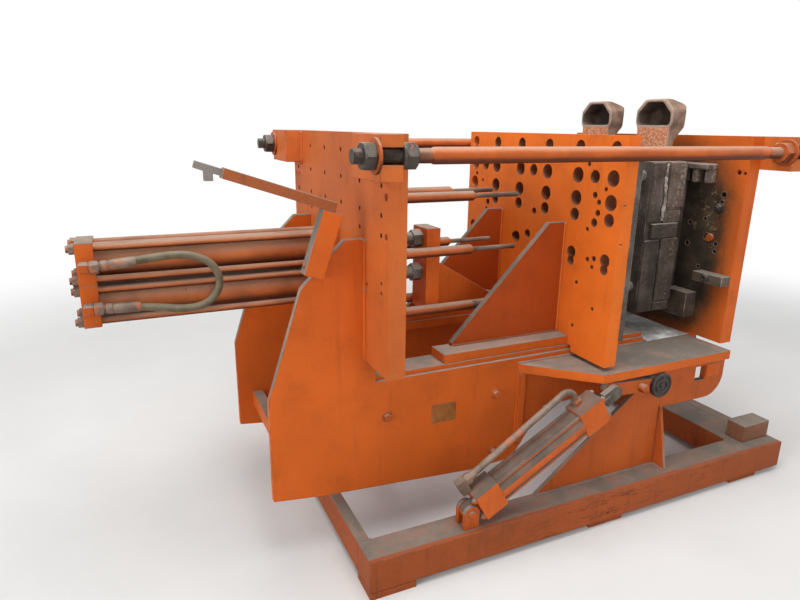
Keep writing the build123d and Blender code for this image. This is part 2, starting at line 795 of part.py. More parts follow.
def mould():
    backing_right = backing_plate_x + backing_plate_thickness
    plate = box(backing_plate_x, backing_right, -backing_plate_half, backing_plate_half, backing_plate_bottom,
                backing_plate_top)
    save("backing_plate", plate)
    pillars = []
    for y in (-pillar_y, pillar_y):
        for z in (pillar_low_z, pillar_high_z):
            pillars.append(rod_x(moving_platen_right, backing_plate_x, y, z, pillar_radius))
            pillars.append(rod_x(backing_right, mould_left, y, z, pillar_radius))
    save("mould_pillars", *pillars)
    save("moving_mould_half", box(mould_left, mould_seam - parting_gap, -mould_half_width, mould_half_width,
                                  mould_bottom, mould_top))
    save("fixed_mould_half", box(mould_seam, mould_right, -mould_half_width, mould_half_width,
                                 mould_bottom, mould_top))
    risers = []
    for y in (-riser_y, riser_y):
        risers.append(box(mould_right, beam_end, y - riser_width / 2, y + riser_width / 2,
                          mould_bottom + riser_inset, mould_top - riser_inset))
    save("mould_risers", *risers)


def cup_form(y, inset, bottom, tail):
    """The form of a cup, drawn in by an inset: a side, a mouth and a plan outline, each carried through.

    The tail is the lower end of the side outline, from the waist to the bottom.
    """
    top = mould_top + cup_top_rise - inset
    back = mould_seam + cup_depth - inset
    front = mould_seam - (1 if inset else 0)
    half = cup_width / 2 - inset
    foot = cup_foot_width / 2 - inset
    floor = mould_top + cup_floor_rise
    belly = mould_top + cup_belly_rise
    side = plate_xz([(front, bottom), (front, top), (mould_seam + cup_flat, top),
                     (mould_seam + cup_hood_reach, top - cup_hood_drop), (back, top - cup_back_drop),
                     (back, top - cup_nose_drop)] + tail, y - half, y + half)
    mouth = plate_yz([(y - foot, bottom), (y + foot, bottom), (y + foot, floor), (y + half, belly),
                      (y + half, top - cup_round), (y + half - cup_round, top), (y - half + cup_round, top),
                      (y - half, top - cup_round), (y - half, belly), (y - foot, floor)], front, back)
    corner = mould_seam + cup_corner_reach
    plan = Polyline((front, y - half), (corner, y - half), (back, y - half + back - corner),
                    (back, y + half - back + corner), (corner, y + half), (front, y + half), close=True)
    return side & mouth & Pos(0, 0, bottom) * extrude(make_face(plan), top - bottom)


def pouring_cup(y):
    """A hooded cup that is open towards the moving platen, whose foot tapers down to the mould."""
    floor = mould_top + cup_floor_rise
    foot = mould_seam + cup_foot_reach
    tail = [(mould_seam + cup_waist_reach, mould_top + cup_waist_rise),
            (mould_seam + cup_tail_reach, mould_top + cup_tail_rise),
            (foot, mould_top + cup_foot_rise), (foot, mould_top)]
    corner = (mould_seam + cup_waist_reach - cup_wall, floor + cup_wall)
    return cup_form(y, 0, mould_top, tail) - cup_form(y, cup_wall, floor + cup_wall, [corner])


def pouring_cups():
    save("pouring_cups", pouring_cup(-cup_y), pouring_cup(cup_y))


def side_bracket():
    """A leaning block on the near side plate, with a bar across its head."""
    outer = side_plate_outer + bracket_thickness
    foot_x = brace_shoulder_x + bracket_foot_inset
    foot_z = brace_shoulder_z + bracket_foot_rise
    across = math.cos(math.radians(bracket_lean))
    along = math.sin(math.radians(bracket_lean))
    save("arm_bracket", link(foot_x, foot_z, foot_x + bracket_length * along,
                             foot_z + bracket_length * across, -outer, -side_plate_outer,
                             bracket_width / 2))
    height = bracket_length + arm_depth / 2
    start_x = foot_x + height * along + arm_overhang * across
    start_z = foot_z + height * across - arm_overhang * along
    end_x = start_x - arm_length * across
    end_z = start_z + arm_length * along
    arm = link(start_x, start_z, end_x, end_z, -outer, -side_plate_outer, arm_depth / 2)
    tip_outer = side_plate_outer + arm_tip_thickness
    tip_x = end_x - arm_tip_length * across
    tip_z = end_z + arm_tip_length * along
    arm += link(end_x + 1, end_z, tip_x, tip_z, -tip_outer, -side_plate_outer, arm_tip_depth / 2)
    hook_x = (end_x + tip_x) / 2
    arm += box(hook_x - arm_hook_width / 2, hook_x + arm_hook_width / 2, -tip_outer, -side_plate_outer,
               end_z - arm_tip_drop / 2, (end_z + tip_z) / 2)
    save("side_arm", arm)


os.makedirs("parts", exist_ok=True)
base_skid()
uprights()
base_clevis()
tilt_cylinder()
side_plates()
shelves()
levers()
left_platen()
right_platen()
moving_platen()
tie_rods()
clamp_group()
crosshead()
slide_feet()
bumper_rods()
mould()
pouring_cups()
side_bracket()
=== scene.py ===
"""The looks of a tilting permanent-mould casting machine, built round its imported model, in metres."""
import logging
import math
from dataclasses import dataclass, replace
from enum import Enum
from typing import Iterable, Optional, Sequence, Union

import bmesh
import bpy
import numpy as np
from mathutils import Matrix, Vector


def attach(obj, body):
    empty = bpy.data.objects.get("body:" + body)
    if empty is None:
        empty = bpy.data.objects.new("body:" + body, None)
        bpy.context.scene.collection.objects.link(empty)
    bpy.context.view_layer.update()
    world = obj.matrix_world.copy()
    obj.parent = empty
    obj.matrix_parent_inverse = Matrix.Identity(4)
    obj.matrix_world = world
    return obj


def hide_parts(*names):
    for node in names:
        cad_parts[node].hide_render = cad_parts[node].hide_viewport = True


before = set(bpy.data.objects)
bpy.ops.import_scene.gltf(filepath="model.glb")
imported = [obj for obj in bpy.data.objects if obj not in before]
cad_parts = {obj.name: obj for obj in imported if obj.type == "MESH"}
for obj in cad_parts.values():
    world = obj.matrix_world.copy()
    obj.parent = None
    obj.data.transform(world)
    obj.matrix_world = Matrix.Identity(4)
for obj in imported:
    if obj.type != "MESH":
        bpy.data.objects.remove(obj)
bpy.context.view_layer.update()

log = logging.getLogger("casting_machine")
Colour = tuple[float, float, float]
Tones = tuple[Colour, Colour]
Point = tuple[float, float, float]
# The points of an outline that is turned, each a distance along the axis and a radius.
Profile = Sequence[tuple[float, float]]
# A small round hole along X: its Y, its Z and its radius.
Hole = tuple[float, float, float]

X, Y, Z = range(3)
# The signs of Y on the near and the far side.
SIDES = (-1, 1)
RIGHTWARD: Point = (1.0, 0.0, 0.0)
LEFTWARD: Point = (-1.0, 0.0, 0.0)
SHARP_ANGLE = 32.0
MERGE_REACH = 2e-5
FIRST_COLOUR, SECOND_COLOUR, MIXED_COLOUR = 6, 7, 2


class Body(Enum):
    """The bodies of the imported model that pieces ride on."""

    BASE = "base"
    FRAME = "tilt_frame"
    PLATEN = "moving_platen_group"
    NEAR_CYLINDER = "near_cylinder"
    FAR_CYLINDER = "far_cylinder"


class Slot(Enum):
    """The material slots of the record."""

    PAINT = "orange_paint"
    STEEL = "steel"
    IRON = "mould_iron"
    STOP = "stop_paint"
    HOSE = "hose"


class Wire:
    """One output socket, with number maths written as Python expressions."""

    def __init__(self, graph: "Graph", socket: bpy.types.NodeSocket) -> None:
        """Keeps the socket and the graph that it belongs to."""
        self.graph = graph
        self.socket = socket

    def __add__(self, other: "Number") -> "Wire":
        """Adds a number or another wire."""
        return self.graph.maths("ADD", self, other)

    def __radd__(self, other: "Number") -> "Wire":
        """Adds this wire to a number."""
        return self.graph.maths("ADD", other, self)

    def __sub__(self, other: "Number") -> "Wire":
        """Takes a number or another wire away."""
        return self.graph.maths("SUBTRACT", self, other)

    def __rsub__(self, other: "Number") -> "Wire":
        """Takes this wire from a number."""
        return self.graph.maths("SUBTRACT", other, self)

    def __mul__(self, other: "Number") -> "Wire":
        """Multiplies by a number or another wire."""
        return self.graph.maths("MULTIPLY", self, other)

    def __rmul__(self, other: "Number") -> "Wire":
        """Multiplies a number by this wire."""
        return self.graph.maths("MULTIPLY", other, self)

    def __truediv__(self, other: "Number") -> "Wire":
        """Divides by a number or another wire."""
        return self.graph.maths("DIVIDE", self, other)

    def __pow__(self, power: float) -> "Wire":
        """Raises to a power."""
        return self.graph.maths("POWER", self, power)

    def __abs__(self) -> "Wire":
        """Drops the sign."""
        return self.graph.maths("ABSOLUTE", self)

    def sway(self, reach: float) -> "Wire":
        """A pattern's distance from its mean of a half, times a reach, which makes a straight edge wander."""
        return (self - 0.5) * reach


Number = Union[Wire, float]


class Graph:
    """The nodes of one material or of the world."""

    def __init__(self, owner: Union[bpy.types.Material, bpy.types.World]) -> None:
        """Starts with no nodes.

        Args:
            owner: The material or the world.
        """
        owner.use_nodes = True
        self.owner = owner
        self.tree = owner.node_tree
        self.tree.nodes.clear()

    def node(self, kind: str, settings: Optional[dict] = None, values: Optional[dict] = None,
             output: Union[int, str] = 0) -> Wire:
        """Adds a node of any type and gives one of its outputs.

        Args:
            kind: The node's type.
            settings: Its settings, which are set first.
            values: Its sockets' numbers, colours or wires, by name or place.
            output: The name or place of the output.

        Returns:
            The output.
        """
        made = self.tree.nodes.new(kind)
        for key, value in (settings or {}).items():
            setattr(made, key, value)
        for key, value in (values or {}).items():
            if isinstance(value, Wire):
                self.tree.links.new(value.socket, made.inputs[key])
            elif value is not None:
                made.inputs[key].default_value = value
        return Wire(self, made.outputs[output])

    def end(self, kind: str, surface: Wire) -> None:
        """Adds the output node, whose first socket takes the finished surface."""
        made = self.tree.nodes.new(kind)
        self.tree.links.new(surface.socket, made.inputs[0])

    def maths(self, operation: str, first: Number, second: Number = 0.0) -> Wire:
        """Adds a Math node for an operation on one or two numbers or wires."""
        return self.node("ShaderNodeMath", {"operation": operation}, {0: first, 1: second})

    def highest(self, first: Wire, second: Wire) -> Wire:
        """The greater of two numbers."""
        return self.maths("MAXIMUM", first, second)

    def place(self) -> Wire:
        """The point on the piece, in metres, in the frame that the piece rides in."""
        return self.node("ShaderNodeTexCoord", output="Object")

    def facing(self, axis: int) -> Wire:
        """How far the surface faces along an axis of the piece."""
        normal = self.node("ShaderNodeTexCoord", output="Normal")
        return self.node("ShaderNodeSeparateXYZ", values={0: normal}, output=axis)

    def along(self, axis: int) -> Wire:
        """The point's distance along an axis of the piece."""
        return self.node("ShaderNodeSeparateXYZ", values={0: self.place()}, output=axis)

    def mapped(self, **changes: Point) -> Wire:
        """The point moved by a Location or with each axis multiplied by a Scale."""
        return self.node("ShaderNodeMapping", {"vector_type": "POINT"}, {"Vector": self.place(), **changes})

    def noise(self, scale: float, detail: float, rough: float, where: Optional[Wire] = None) -> Wire:
        """Cloudy noise from 0 to 1 by blobs a metre, finer layers, their strength and where it is read."""
        return self.node("ShaderNodeTexNoise", values={"Vector": where or self.place(), "Scale": scale,
                                                       "Detail": detail, "Roughness": rough})

    def streaks(self, across: float, down: float, detail: float, rough: float, axis: int = Z) -> Wire:
        """Noise drawn out along an axis, for runs, scuffs and brush marks.

        Args:
            across: Its scale across the streaks.
            down: Its scale along them.
            detail: How many finer layers it has.
            rough: How strong the finer layers are.
            axis: The axis that they run along.

        Returns:
            The noise's value.
        """
        scale = [across] * 3
        scale[axis] = down
        return self.noise(1.0, detail, rough, self.mapped(Scale=tuple(scale)))

    def cells(self, scale: float, where: Optional[Wire] = None) -> Wire:
        """The distance to the nearest of many scattered points."""
        return self.node("ShaderNodeTexVoronoi", {"feature": "F1"},
                         {"Vector": where or self.place(), "Scale": scale}, "Distance")

    def step(self, value: Wire, low: float, high: float) -> Wire:
        """A smooth step from 0 at low to 1 at high, or the other way where low is above high.

        Args:
            value: What is stepped.
            low: Where the step is 0.
            high: Where it is 1.

        Returns:
            A number between 0 and 1.
        """
        turned = low > high
        ends = (value, min(low, high), max(low, high), float(turned), float(not turned))
        return self.node("ShaderNodeMapRange", {"interpolation_type": "SMOOTHSTEP", "clamp": True},
                         dict(enumerate(ends)))

    def mix(self, factor: Number, first: Union[Wire, Colour], second: Union[Wire, Colour]) -> Wire:
        """A mix of two colours.

        Args:
            factor: 0 for the first and 1 for the second.
            first: A wire or a constant.
            second: A wire or a constant.

        Returns:
            The mixed colour.
        """
        values = {0: factor}
        for key, value in ((FIRST_COLOUR, first), (SECOND_COLOUR, second)):
            values[key] = value if isinstance(value, Wire) else (*value, 1.0)
        return self.node("ShaderNodeMix", {"data_type": "RGBA", "clamp_factor": True}, values, MIXED_COLOUR)

    def shades(self, mask: Wire, colour: Colour, low: float, high: float) -> Wire:
        """A colour times low where the mask is 0 and times high where it is 1."""
        return self.mix(mask, scaled(colour, low), scaled(colour, high))

    def mark(self, name: str) -> Wire:
        """A number that the mesh carries on its faces."""
        return self.node("ShaderNodeAttribute", {"attribute_name": name}, output="Fac")

    def bump(self, height: Wire, depth: float, strength: float) -> Wire:
        """A bumped normal from a height between 0 and 1 that stands for so many metres."""
        return self.node("ShaderNodeBump", values={"Height": height, "Distance": depth, "Strength": strength})

    def finish(self, colour: Wire, roughness: Number, normal: Wire, metallic: Number = 0.0,
               gloss: float = 0.5) -> bpy.types.Material:
        """Ends the material in a principled surface.

        Args:
            colour: Its colour.
            roughness: Its roughness.
            normal: Its bumped normal.
            metallic: Its share of metal.
            gloss: Its specular level.

        Returns:
            The material.
        """
        values = {"Base Color": colour, "Roughness": roughness, "Normal": normal, "Metallic": metallic,
                  "Specular IOR Level": gloss}
        self.end("ShaderNodeOutputMaterial", self.node("ShaderNodeBsdfPrincipled", values=values))
        return self.owner


def scaled(colour: Colour, factor: float) -> Colour:
    """A colour made lighter or darker."""
    return tuple(min(1.0, channel * factor) for channel in colour)


DUST: Colour = (0.235, 0.200, 0.165)
PALE_DUST: Colour = (0.36, 0.32, 0.27)
PRIMER: Colour = (0.17, 0.045, 0.020)
GRIME: Colour = (0.095, 0.036, 0.013)
PIT: Colour = (0.07, 0.025, 0.014)
CRACK: Colour = (0.030, 0.012, 0.008)
SINGED: Colour = (0.110, 0.046, 0.016)
SCORCH: Colour = (0.42, 0.240, 0.105)
CHAR_RUST: Colour = (0.150, 0.080, 0.038)
CHAR: Tones = ((0.032, 0.025, 0.019), (0.070, 0.050, 0.034))
# Painted shade on the walls of holes: dark brown with lighter patches.
BORE_SHADE: Tones = ((0.085, 0.032, 0.017), (0.24, 0.105, 0.065))
STRIPPED: Tones = ((0.17, 0.145, 0.130), (0.30, 0.260, 0.235))


@dataclass(frozen=True)
class Finish:
    """A finish, made once and shared by the pieces that have it."""

    name: str

    def graph(self) -> Graph:
        """The empty nodes of its material."""
        return Graph(bpy.data.materials.new(self.name))


class PaintGraph(Graph):
    """The nodes of a coat of paint, with the patterns that its layers share."""

    def __init__(self, owner: bpy.types.Material, seed: float) -> None:
        """Lays out the patterns, from slow changes of tone to specks.

        Args:
            owner: The material.
            seed: How far the patterns are moved, in metres.
        """
        super().__init__(owner)
        self.here = self.mapped(Location=(seed, seed * 0.7, seed * 1.3))
        self.slow = self.noise(1.7, 3.0, 0.5, self.here)
        self.patch = self.noise(8.0, 5.0, 0.6, self.here)
        self.fine = self.noise(75.0, 5.0, 0.7, self.here)
        self.speck = self.noise(190.0, 3.0, 0.6, self.here)
        self.flake = self.noise(24.0, 9.0, 0.66, self.here)
        self.upright = self.step(abs(self.facing(Z)), 0.6, 0.2)


@dataclass(frozen=True)
class ShopPaint(Finish):
    """Brushed machine paint: shop dust on what faces up, grime in patches and runs, chips, worn edges, and
    painted shade on the walls of bored holes.
    """

    colour: Colour = (0.60, 0.112, 0.012)
    film: float = 0.05
    grime: float = 0.35
    chips: float = 0.35
    seed: float = 0.0
    dust: float = 1.0
    # A share of the dust's colour. Below 1 it is darker, which on the tilt cylinders and the gussets is
    # painted shade.
    dust_tone_and_shade: float = 1.0
    patchy: float = 0.16
    burnt: bool = False
    # How strongly the walls of the holes are darkened as painted shade.
    bore_shade: float = 0.0
    cracked: float = 0.0
    wiped_from: Optional[float] = None
    bare_left_of: Optional[float] = None

    def graph(self) -> PaintGraph:
        """The nodes of its material, with the patterns laid out."""
        return PaintGraph(bpy.data.materials.new(self.name), self.seed)

    def coat(self, g: PaintGraph) -> Wire:
        """The paint's own tones under patches and runs of grime.

        Args:
            g: The material's nodes.

        Returns:
            The colour.
        """
        colour = g.shades(g.step(g.slow, 0.32, 0.68), self.colour, 0.84, 1.10)
        colour = g.mix(g.step(g.patch, 0.42, 0.75) * 0.35, colour, scaled(self.colour, 0.62))
        colour = g.mix(g.step(g.fine, 0.50, 0.72) * 0.18, colour, scaled(self.colour, 1.25))
        runs = g.step(g.streaks(34.0, 2.1, 4.0, 0.6), 0.54, 0.80) * g.upright * self.grime
        return g.mix(runs + g.step(g.patch, 0.56, 0.80) * (self.grime * 0.55), colour, GRIME)

    def bare(self, g: PaintGraph) -> Wire:
        """1 where the paint is off: in flakes and along the worn edges.

        Args:
            g: The material's nodes.

        Returns:
            The mask.
        """
        worn = g.mark("edge") * g.step(g.noise(19.0, 6.0, 0.7, g.here), 0.44, 0.62)
        flaked = g.step(g.flake, 0.745 - 0.07 * self.chips, 0.765 - 0.07 * self.chips)
        return g.highest(flaked, worn * 0.75)

    def damage(self, g: PaintGraph, colour: Wire, bare: Wire) -> Wire:
        """Primer where the paint is off, then pits, lengthwise cracks, a film of dust and a stripped end.

        Args:
            g: The material's nodes.
            colour: The colour so far.
            bare: 1 where the paint is off.

        Returns:
            The colour.
        """
        pits = g.step(g.cells(31.0, g.here), 0.085, 0.055) * g.step(g.patch, 0.50, 0.58)
        colour = g.mix(pits * self.chips, g.mix(bare, colour, PRIMER), PIT)
        if self.cracked:
            ridge = abs(g.streaks(22.0, 1.9, 7.0, 0.62, X) - 0.5)
            crack = g.step(ridge, 0.011, 0.003) * g.upright * g.step(g.slow, 0.40, 0.56)
            colour = g.mix(crack * self.cracked, colour, CRACK)
        colour = g.mix(g.step(g.speck, 0.35, 0.75) * self.film, colour, PALE_DUST)
        if self.bare_left_of is not None:
            place = g.along(X) + g.fine.sway(0.004)
            stripped = g.step(place, self.bare_left_of + 0.002, self.bare_left_of)
            colour = g.mix(stripped, colour, g.mix(g.fine, *STRIPPED))
        return colour

    def settled(self, g: PaintGraph) -> Wire:
        """How thickly dust lies: on what faces up, less in patches and where the edge is wiped.

        Args:
            g: The material's nodes.

        Returns:
            The mask.
        """
        lying = g.step(g.facing(Z) + g.patch.sway(0.10), 0.10, 0.22)
        if self.wiped_from is not None:
            side = abs(g.along(Y)) + g.patch.sway(0.018) + g.fine.sway(0.006)
            lying = lying * (0.12 + 0.88 * g.step(side, self.wiped_from + 0.004, self.wiped_from - 0.004))
        thin = g.step(g.flake * 0.4 + g.patch * 0.6, 0.47, 0.60)
        return lying * self.dust * (1.0 - self.patchy * thin)

    def bores(self, g: PaintGraph) -> Wire:
        """1 on the walls of a platen's holes: what faces neither way along X and lies well within its rim.

        Args:
            g: The material's nodes.

        Returns:
            The mask.
        """
        wall = g.step(abs(g.facing(X)), 0.5, 0.3)
        return (wall * g.step(abs(g.along(Y)), 0.474, 0.470)
                * g.step(abs(g.along(Z) - 1.03), 0.408, 0.404))

    def burn(self, g: PaintGraph, colour: Wire) -> Wire:
        """Chars the middle of the face that looks to the mould, through brown to paint at its rim.

        Args:
            g: The material's nodes.
            colour: The colour so far.

        Returns:
            The colour.
        """
        across = (abs(g.along(Y)) / 0.425) ** 4.0
        height = (abs(g.along(Z) - 1.00) / 0.400) ** 4.0
        reach = (across + height) ** 0.25 + g.patch.sway(0.22) + g.fine.sway(0.10)
        faces_mould = g.highest(g.step(g.facing(X), -0.3, -0.7), self.bores(g))
        char = g.mix(g.step(g.patch, 0.40, 0.66), *CHAR)
        char = g.mix(g.step(g.flake, 0.60, 0.70) * 0.6, char, CHAR_RUST)
        beside = abs(g.along(Y)) - 0.350
        over = g.along(Z) - 1.155
        away = (beside * beside + over * over * 0.6) ** 0.5
        scorch = (g.step(away + g.patch.sway(0.16), 0.120, 0.020)
                  * g.step(g.fine * 0.5 + g.flake * 0.5, 0.53, 0.62))
        char = g.mix(scorch * 0.80, char, SCORCH)
        colour = g.mix(g.step(reach, 1.22, 0.90) * faces_mould * 0.80, colour, SINGED)
        return g.mix(g.step(reach, 1.03, 0.84) * faces_mould, colour, char)

    def build(self) -> bpy.types.Material:
        """Makes the material.

        Returns:
            The material.
        """
        g = self.graph()
        bare, swept = self.bare(g), self.settled(g)
        colour = self.damage(g, self.coat(g), bare)
        dust = scaled(DUST, self.dust_tone_and_shade)
        grey = g.shades(g.step(g.patch, 0.35, 0.70), dust, 0.86, 1.25)
        grey = g.mix(g.step(g.fine, 0.55, 0.75) * 0.4, grey, scaled(dust, 0.60))
        colour = g.mix(swept, colour, grey)
        if self.burnt:
            colour = self.burn(g, colour)
        # Painted shade: the walls of the holes are darkened, as shade falls inside them.
        if self.bore_shade:
            colour = g.mix(self.bores(g) * self.bore_shade, colour, g.mix(g.patch, *BORE_SHADE))
        rough = 0.46 + 0.14 * g.fine + 0.34 * swept + 0.12 * bare
        height = 0.30 * g.fine + 0.20 * g.speck + 0.5 * (1.0 - bare)
        return g.finish(colour, rough, g.bump(height, 0.0011, 0.7), gloss=0.15)


@dataclass(frozen=True)
class RoundPaint(Finish):
    """Paint on a round rod or tube: salmon dust and a painted highlight along its top, clean orange at its
    side and painted shade below.
    """

    colour: Colour = (0.50, 0.098, 0.012)
    # The colour along its top: dust and a painted highlight together.
    top: Colour = (0.52, 0.27, 0.165)
    # How strongly that top colour shows, dust and painted highlight alike.
    dust: float = 0.85
    smoke: float = 0.2
    # How far up the surface must face before the top's dust and painted highlight begin.
    dust_and_highlight_from: float = 0.20
    bare_right_of: Optional[float] = None
    # Painted shade on what faces down.
    underside_shade: Colour = (0.070, 0.014, 0.005)
    smoked: Colour = (0.075, 0.038, 0.024)
    metal: Tones = ((0.090, 0.058, 0.042), (0.20, 0.140, 0.105))

    def build(self) -> bpy.types.Material:
        """Makes the material.

        Returns:
            The material.
        """
        g = self.graph()
        patch = g.noise(7.0, 5.0, 0.6)
        fine = g.noise(110.0, 5.0, 0.7)
        scuff = g.streaks(60.0, 5.0, 5.0, 0.65, X)
        colour = g.shades(g.step(patch, 0.35, 0.68), self.colour, 0.78, 1.15)
        colour = g.mix(g.step(scuff, 0.52, 0.74) * 0.45, colour, scaled(self.colour, 0.55))
        # Painted shade: what faces down is darkened.
        low = g.step(g.facing(Z) + scuff.sway(0.3), -0.05, -0.60)
        colour = g.mix(low * 0.88, colour, self.underside_shade)
        # Dust and a painted highlight along the top, reaching down the sides.
        upward = g.facing(Z) + scuff.sway(0.45) + patch.sway(0.3)
        dust_and_highlight = g.step(upward, self.dust_and_highlight_from, self.dust_and_highlight_from + 0.72) * self.dust
        colour = g.mix(dust_and_highlight, colour, g.shades(fine, self.top, 0.72, 1.18))
        lying = g.step(g.facing(Z) + patch.sway(0.25), 0.84, 0.97) * 0.55
        colour = g.mix(lying, colour, g.shades(patch, DUST, 0.9, 1.4))
        colour = g.mix(g.step(g.noise(4.2, 3.0, 0.5), 0.56, 0.66) * self.smoke, colour, self.smoked)
        if self.bare_right_of is not None:
            place = g.along(X) + fine.sway(0.01)
            stripped = g.step(place, self.bare_right_of - 0.004, self.bare_right_of + 0.004)
            colour = g.mix(stripped * (1.0 - lying), colour, g.mix(g.step(patch, 0.38, 0.64), *self.metal))
        colour = g.mix(g.step(g.noise(26.0, 8.0, 0.66), 0.700, 0.715), colour, PRIMER)
        rough = 0.44 + 0.22 * dust_and_highlight + 0.16 * fine
        return g.finish(colour, rough, g.bump(fine * 0.5 + scuff * 0.5, 0.0010, 0.7), gloss=0.25)


@dataclass(frozen=True)
class DarkSteel(Finish):
    """Bare steel that has gone brown, rusty in patches and dusty on top."""

    colour: Colour = (0.115, 0.095, 0.078)
    rust: float = 0.35
    dust: float = 0.7
    shine: float = 0.55
    paint: float = 0.0
    paint_colour: Colour = (0.50, 0.115, 0.030)
    rusts: Tones = ((0.16, 0.060, 0.028), (0.27, 0.115, 0.055))
    edges: Colour = (0.40, 0.35, 0.30)

    def build(self) -> bpy.types.Material:
        """Makes the material.

        Returns:
            The material.
        """
        g = self.graph()
        patch = g.noise(14.0, 6.0, 0.62)
        fine = g.noise(120.0, 5.0, 0.65)
        brushed = g.streaks(260.0, 25.0, 3.0, 0.6, X)
        colour = g.shades(g.step(patch, 0.36, 0.66), self.colour, 0.62, 1.35)
        colour = g.mix(g.step(brushed, 0.50, 0.72) * 0.35, colour, scaled(self.colour, 1.8))
        rusted = g.step(g.noise(30.0, 7.0, 0.68), 0.62 - 0.16 * self.rust, 0.72) * min(1.0, 2.2 * self.rust)
        colour = g.mix(rusted, colour, g.mix(fine, *self.rusts))
        painted: Number = 0.0
        if self.paint:
            painted = g.step(g.noise(17.0, 7.0, 0.62), 0.66 - 0.42 * self.paint, 0.70 - 0.42 * self.paint)
            colour = g.mix(painted, colour, g.shades(patch, self.paint_colour, 0.75, 1.2))
        colour = g.mix(g.mark("edge") * g.step(patch, 0.38, 0.6) * 0.6, colour, self.edges)
        lying = g.step(g.facing(Z) + patch.sway(0.7), 0.30, 0.85) * self.dust
        colour = g.mix(lying, colour, g.mix(fine, DUST, PALE_DUST))
        metal = (1.0 - lying) * (1.0 - rusted) * (1.0 - painted) * self.shine
        rough = 0.42 + 0.25 * lying + 0.22 * rusted + 0.14 * fine
        return g.finish(colour, rough, g.bump(fine * 0.6 + patch * 0.4, 0.0009, 0.8), metal)


@dataclass(frozen=True)
class BurntIron(Finish):
    """Mould iron, burnt dark brown, with coating wash in pale flecks and runs, rust and heat stains."""

    colour: Colour
    wash: float
    stain: Colour = (0.125, 0.072, 0.046)
    flecks: Tones = ((0.20, 0.155, 0.125), (0.44, 0.37, 0.31))
    soot: Colour = (0.026, 0.019, 0.015)
    edges: Colour = (0.20, 0.155, 0.125)
    ash: Tones = ((0.20, 0.165, 0.14), (0.38, 0.33, 0.285))

    def build(self) -> bpy.types.Material:
        """Makes the material.

        Returns:
            The material.
        """
        g = self.graph()
        patch = g.noise(9.0, 6.0, 0.62)
        fine = g.noise(85.0, 7.0, 0.72)
        grain = g.noise(240.0, 4.0, 0.7)
        runs = g.streaks(42.0, 4.0, 6.0, 0.66)
        clouded = g.step(patch, 0.34, 0.68)
        colour = g.shades(clouded, self.colour, 0.62, 1.55)
        colour = g.mix(g.step(runs, 0.56, 0.72) * 0.50, colour, self.stain)
        high = g.step(g.along(Z), 1.04, 1.20)
        colour = g.mix(high * 0.75, colour, g.shades(clouded, self.colour, 1.15, 2.50))
        coat = g.step(runs * 0.45 + fine * 0.55, 0.51, 0.60) * (0.35 + 0.65 * high) * self.wash
        colour = g.mix(coat, colour, g.mix(fine, *self.flecks))
        colour = g.mix(g.step(grain, 0.58, 0.70) * 0.45, colour, scaled(self.colour, 2.4))
        colour = g.mix(g.step(fine, 0.62, 0.74) * 0.5, colour, self.soot)
        worn = g.mark("edge") * g.step(g.noise(22.0, 5.0, 0.6), 0.42, 0.60)
        colour = g.mix(worn * 0.55, colour, self.edges)
        lying = g.step(g.facing(Z) + patch.sway(0.4), 0.40, 0.75)
        colour = g.mix(lying * 0.8, colour, g.mix(fine, *self.ash))
        return g.finish(colour, 0.78 + 0.14 * fine, g.bump(fine * 0.7 + runs * 0.3, 0.0022, 0.9), gloss=0.25)


@dataclass(frozen=True)
class Crust(Finish):
    """Pale mould coating that has built up into a rough crust."""

    tones: Tones = ((0.22, 0.180, 0.150), (0.50, 0.45, 0.40))
    grit: Colour = (0.085, 0.062, 0.050)

    def build(self) -> bpy.types.Material:
        """Makes the material.

        Returns:
            The material.
        """
        g = self.graph()
        patch = g.noise(30.0, 6.0, 0.65)
        grain = g.noise(160.0, 6.0, 0.75)
        colour = g.mix(g.step(patch, 0.36, 0.62), *self.tones)
        colour = g.mix(g.step(grain, 0.55, 0.68) * 0.7, colour, self.grit)
        return g.finish(colour, 0.9, g.bump(grain * 0.6 + patch * 0.4, 0.004, 1.0), gloss=0.2)


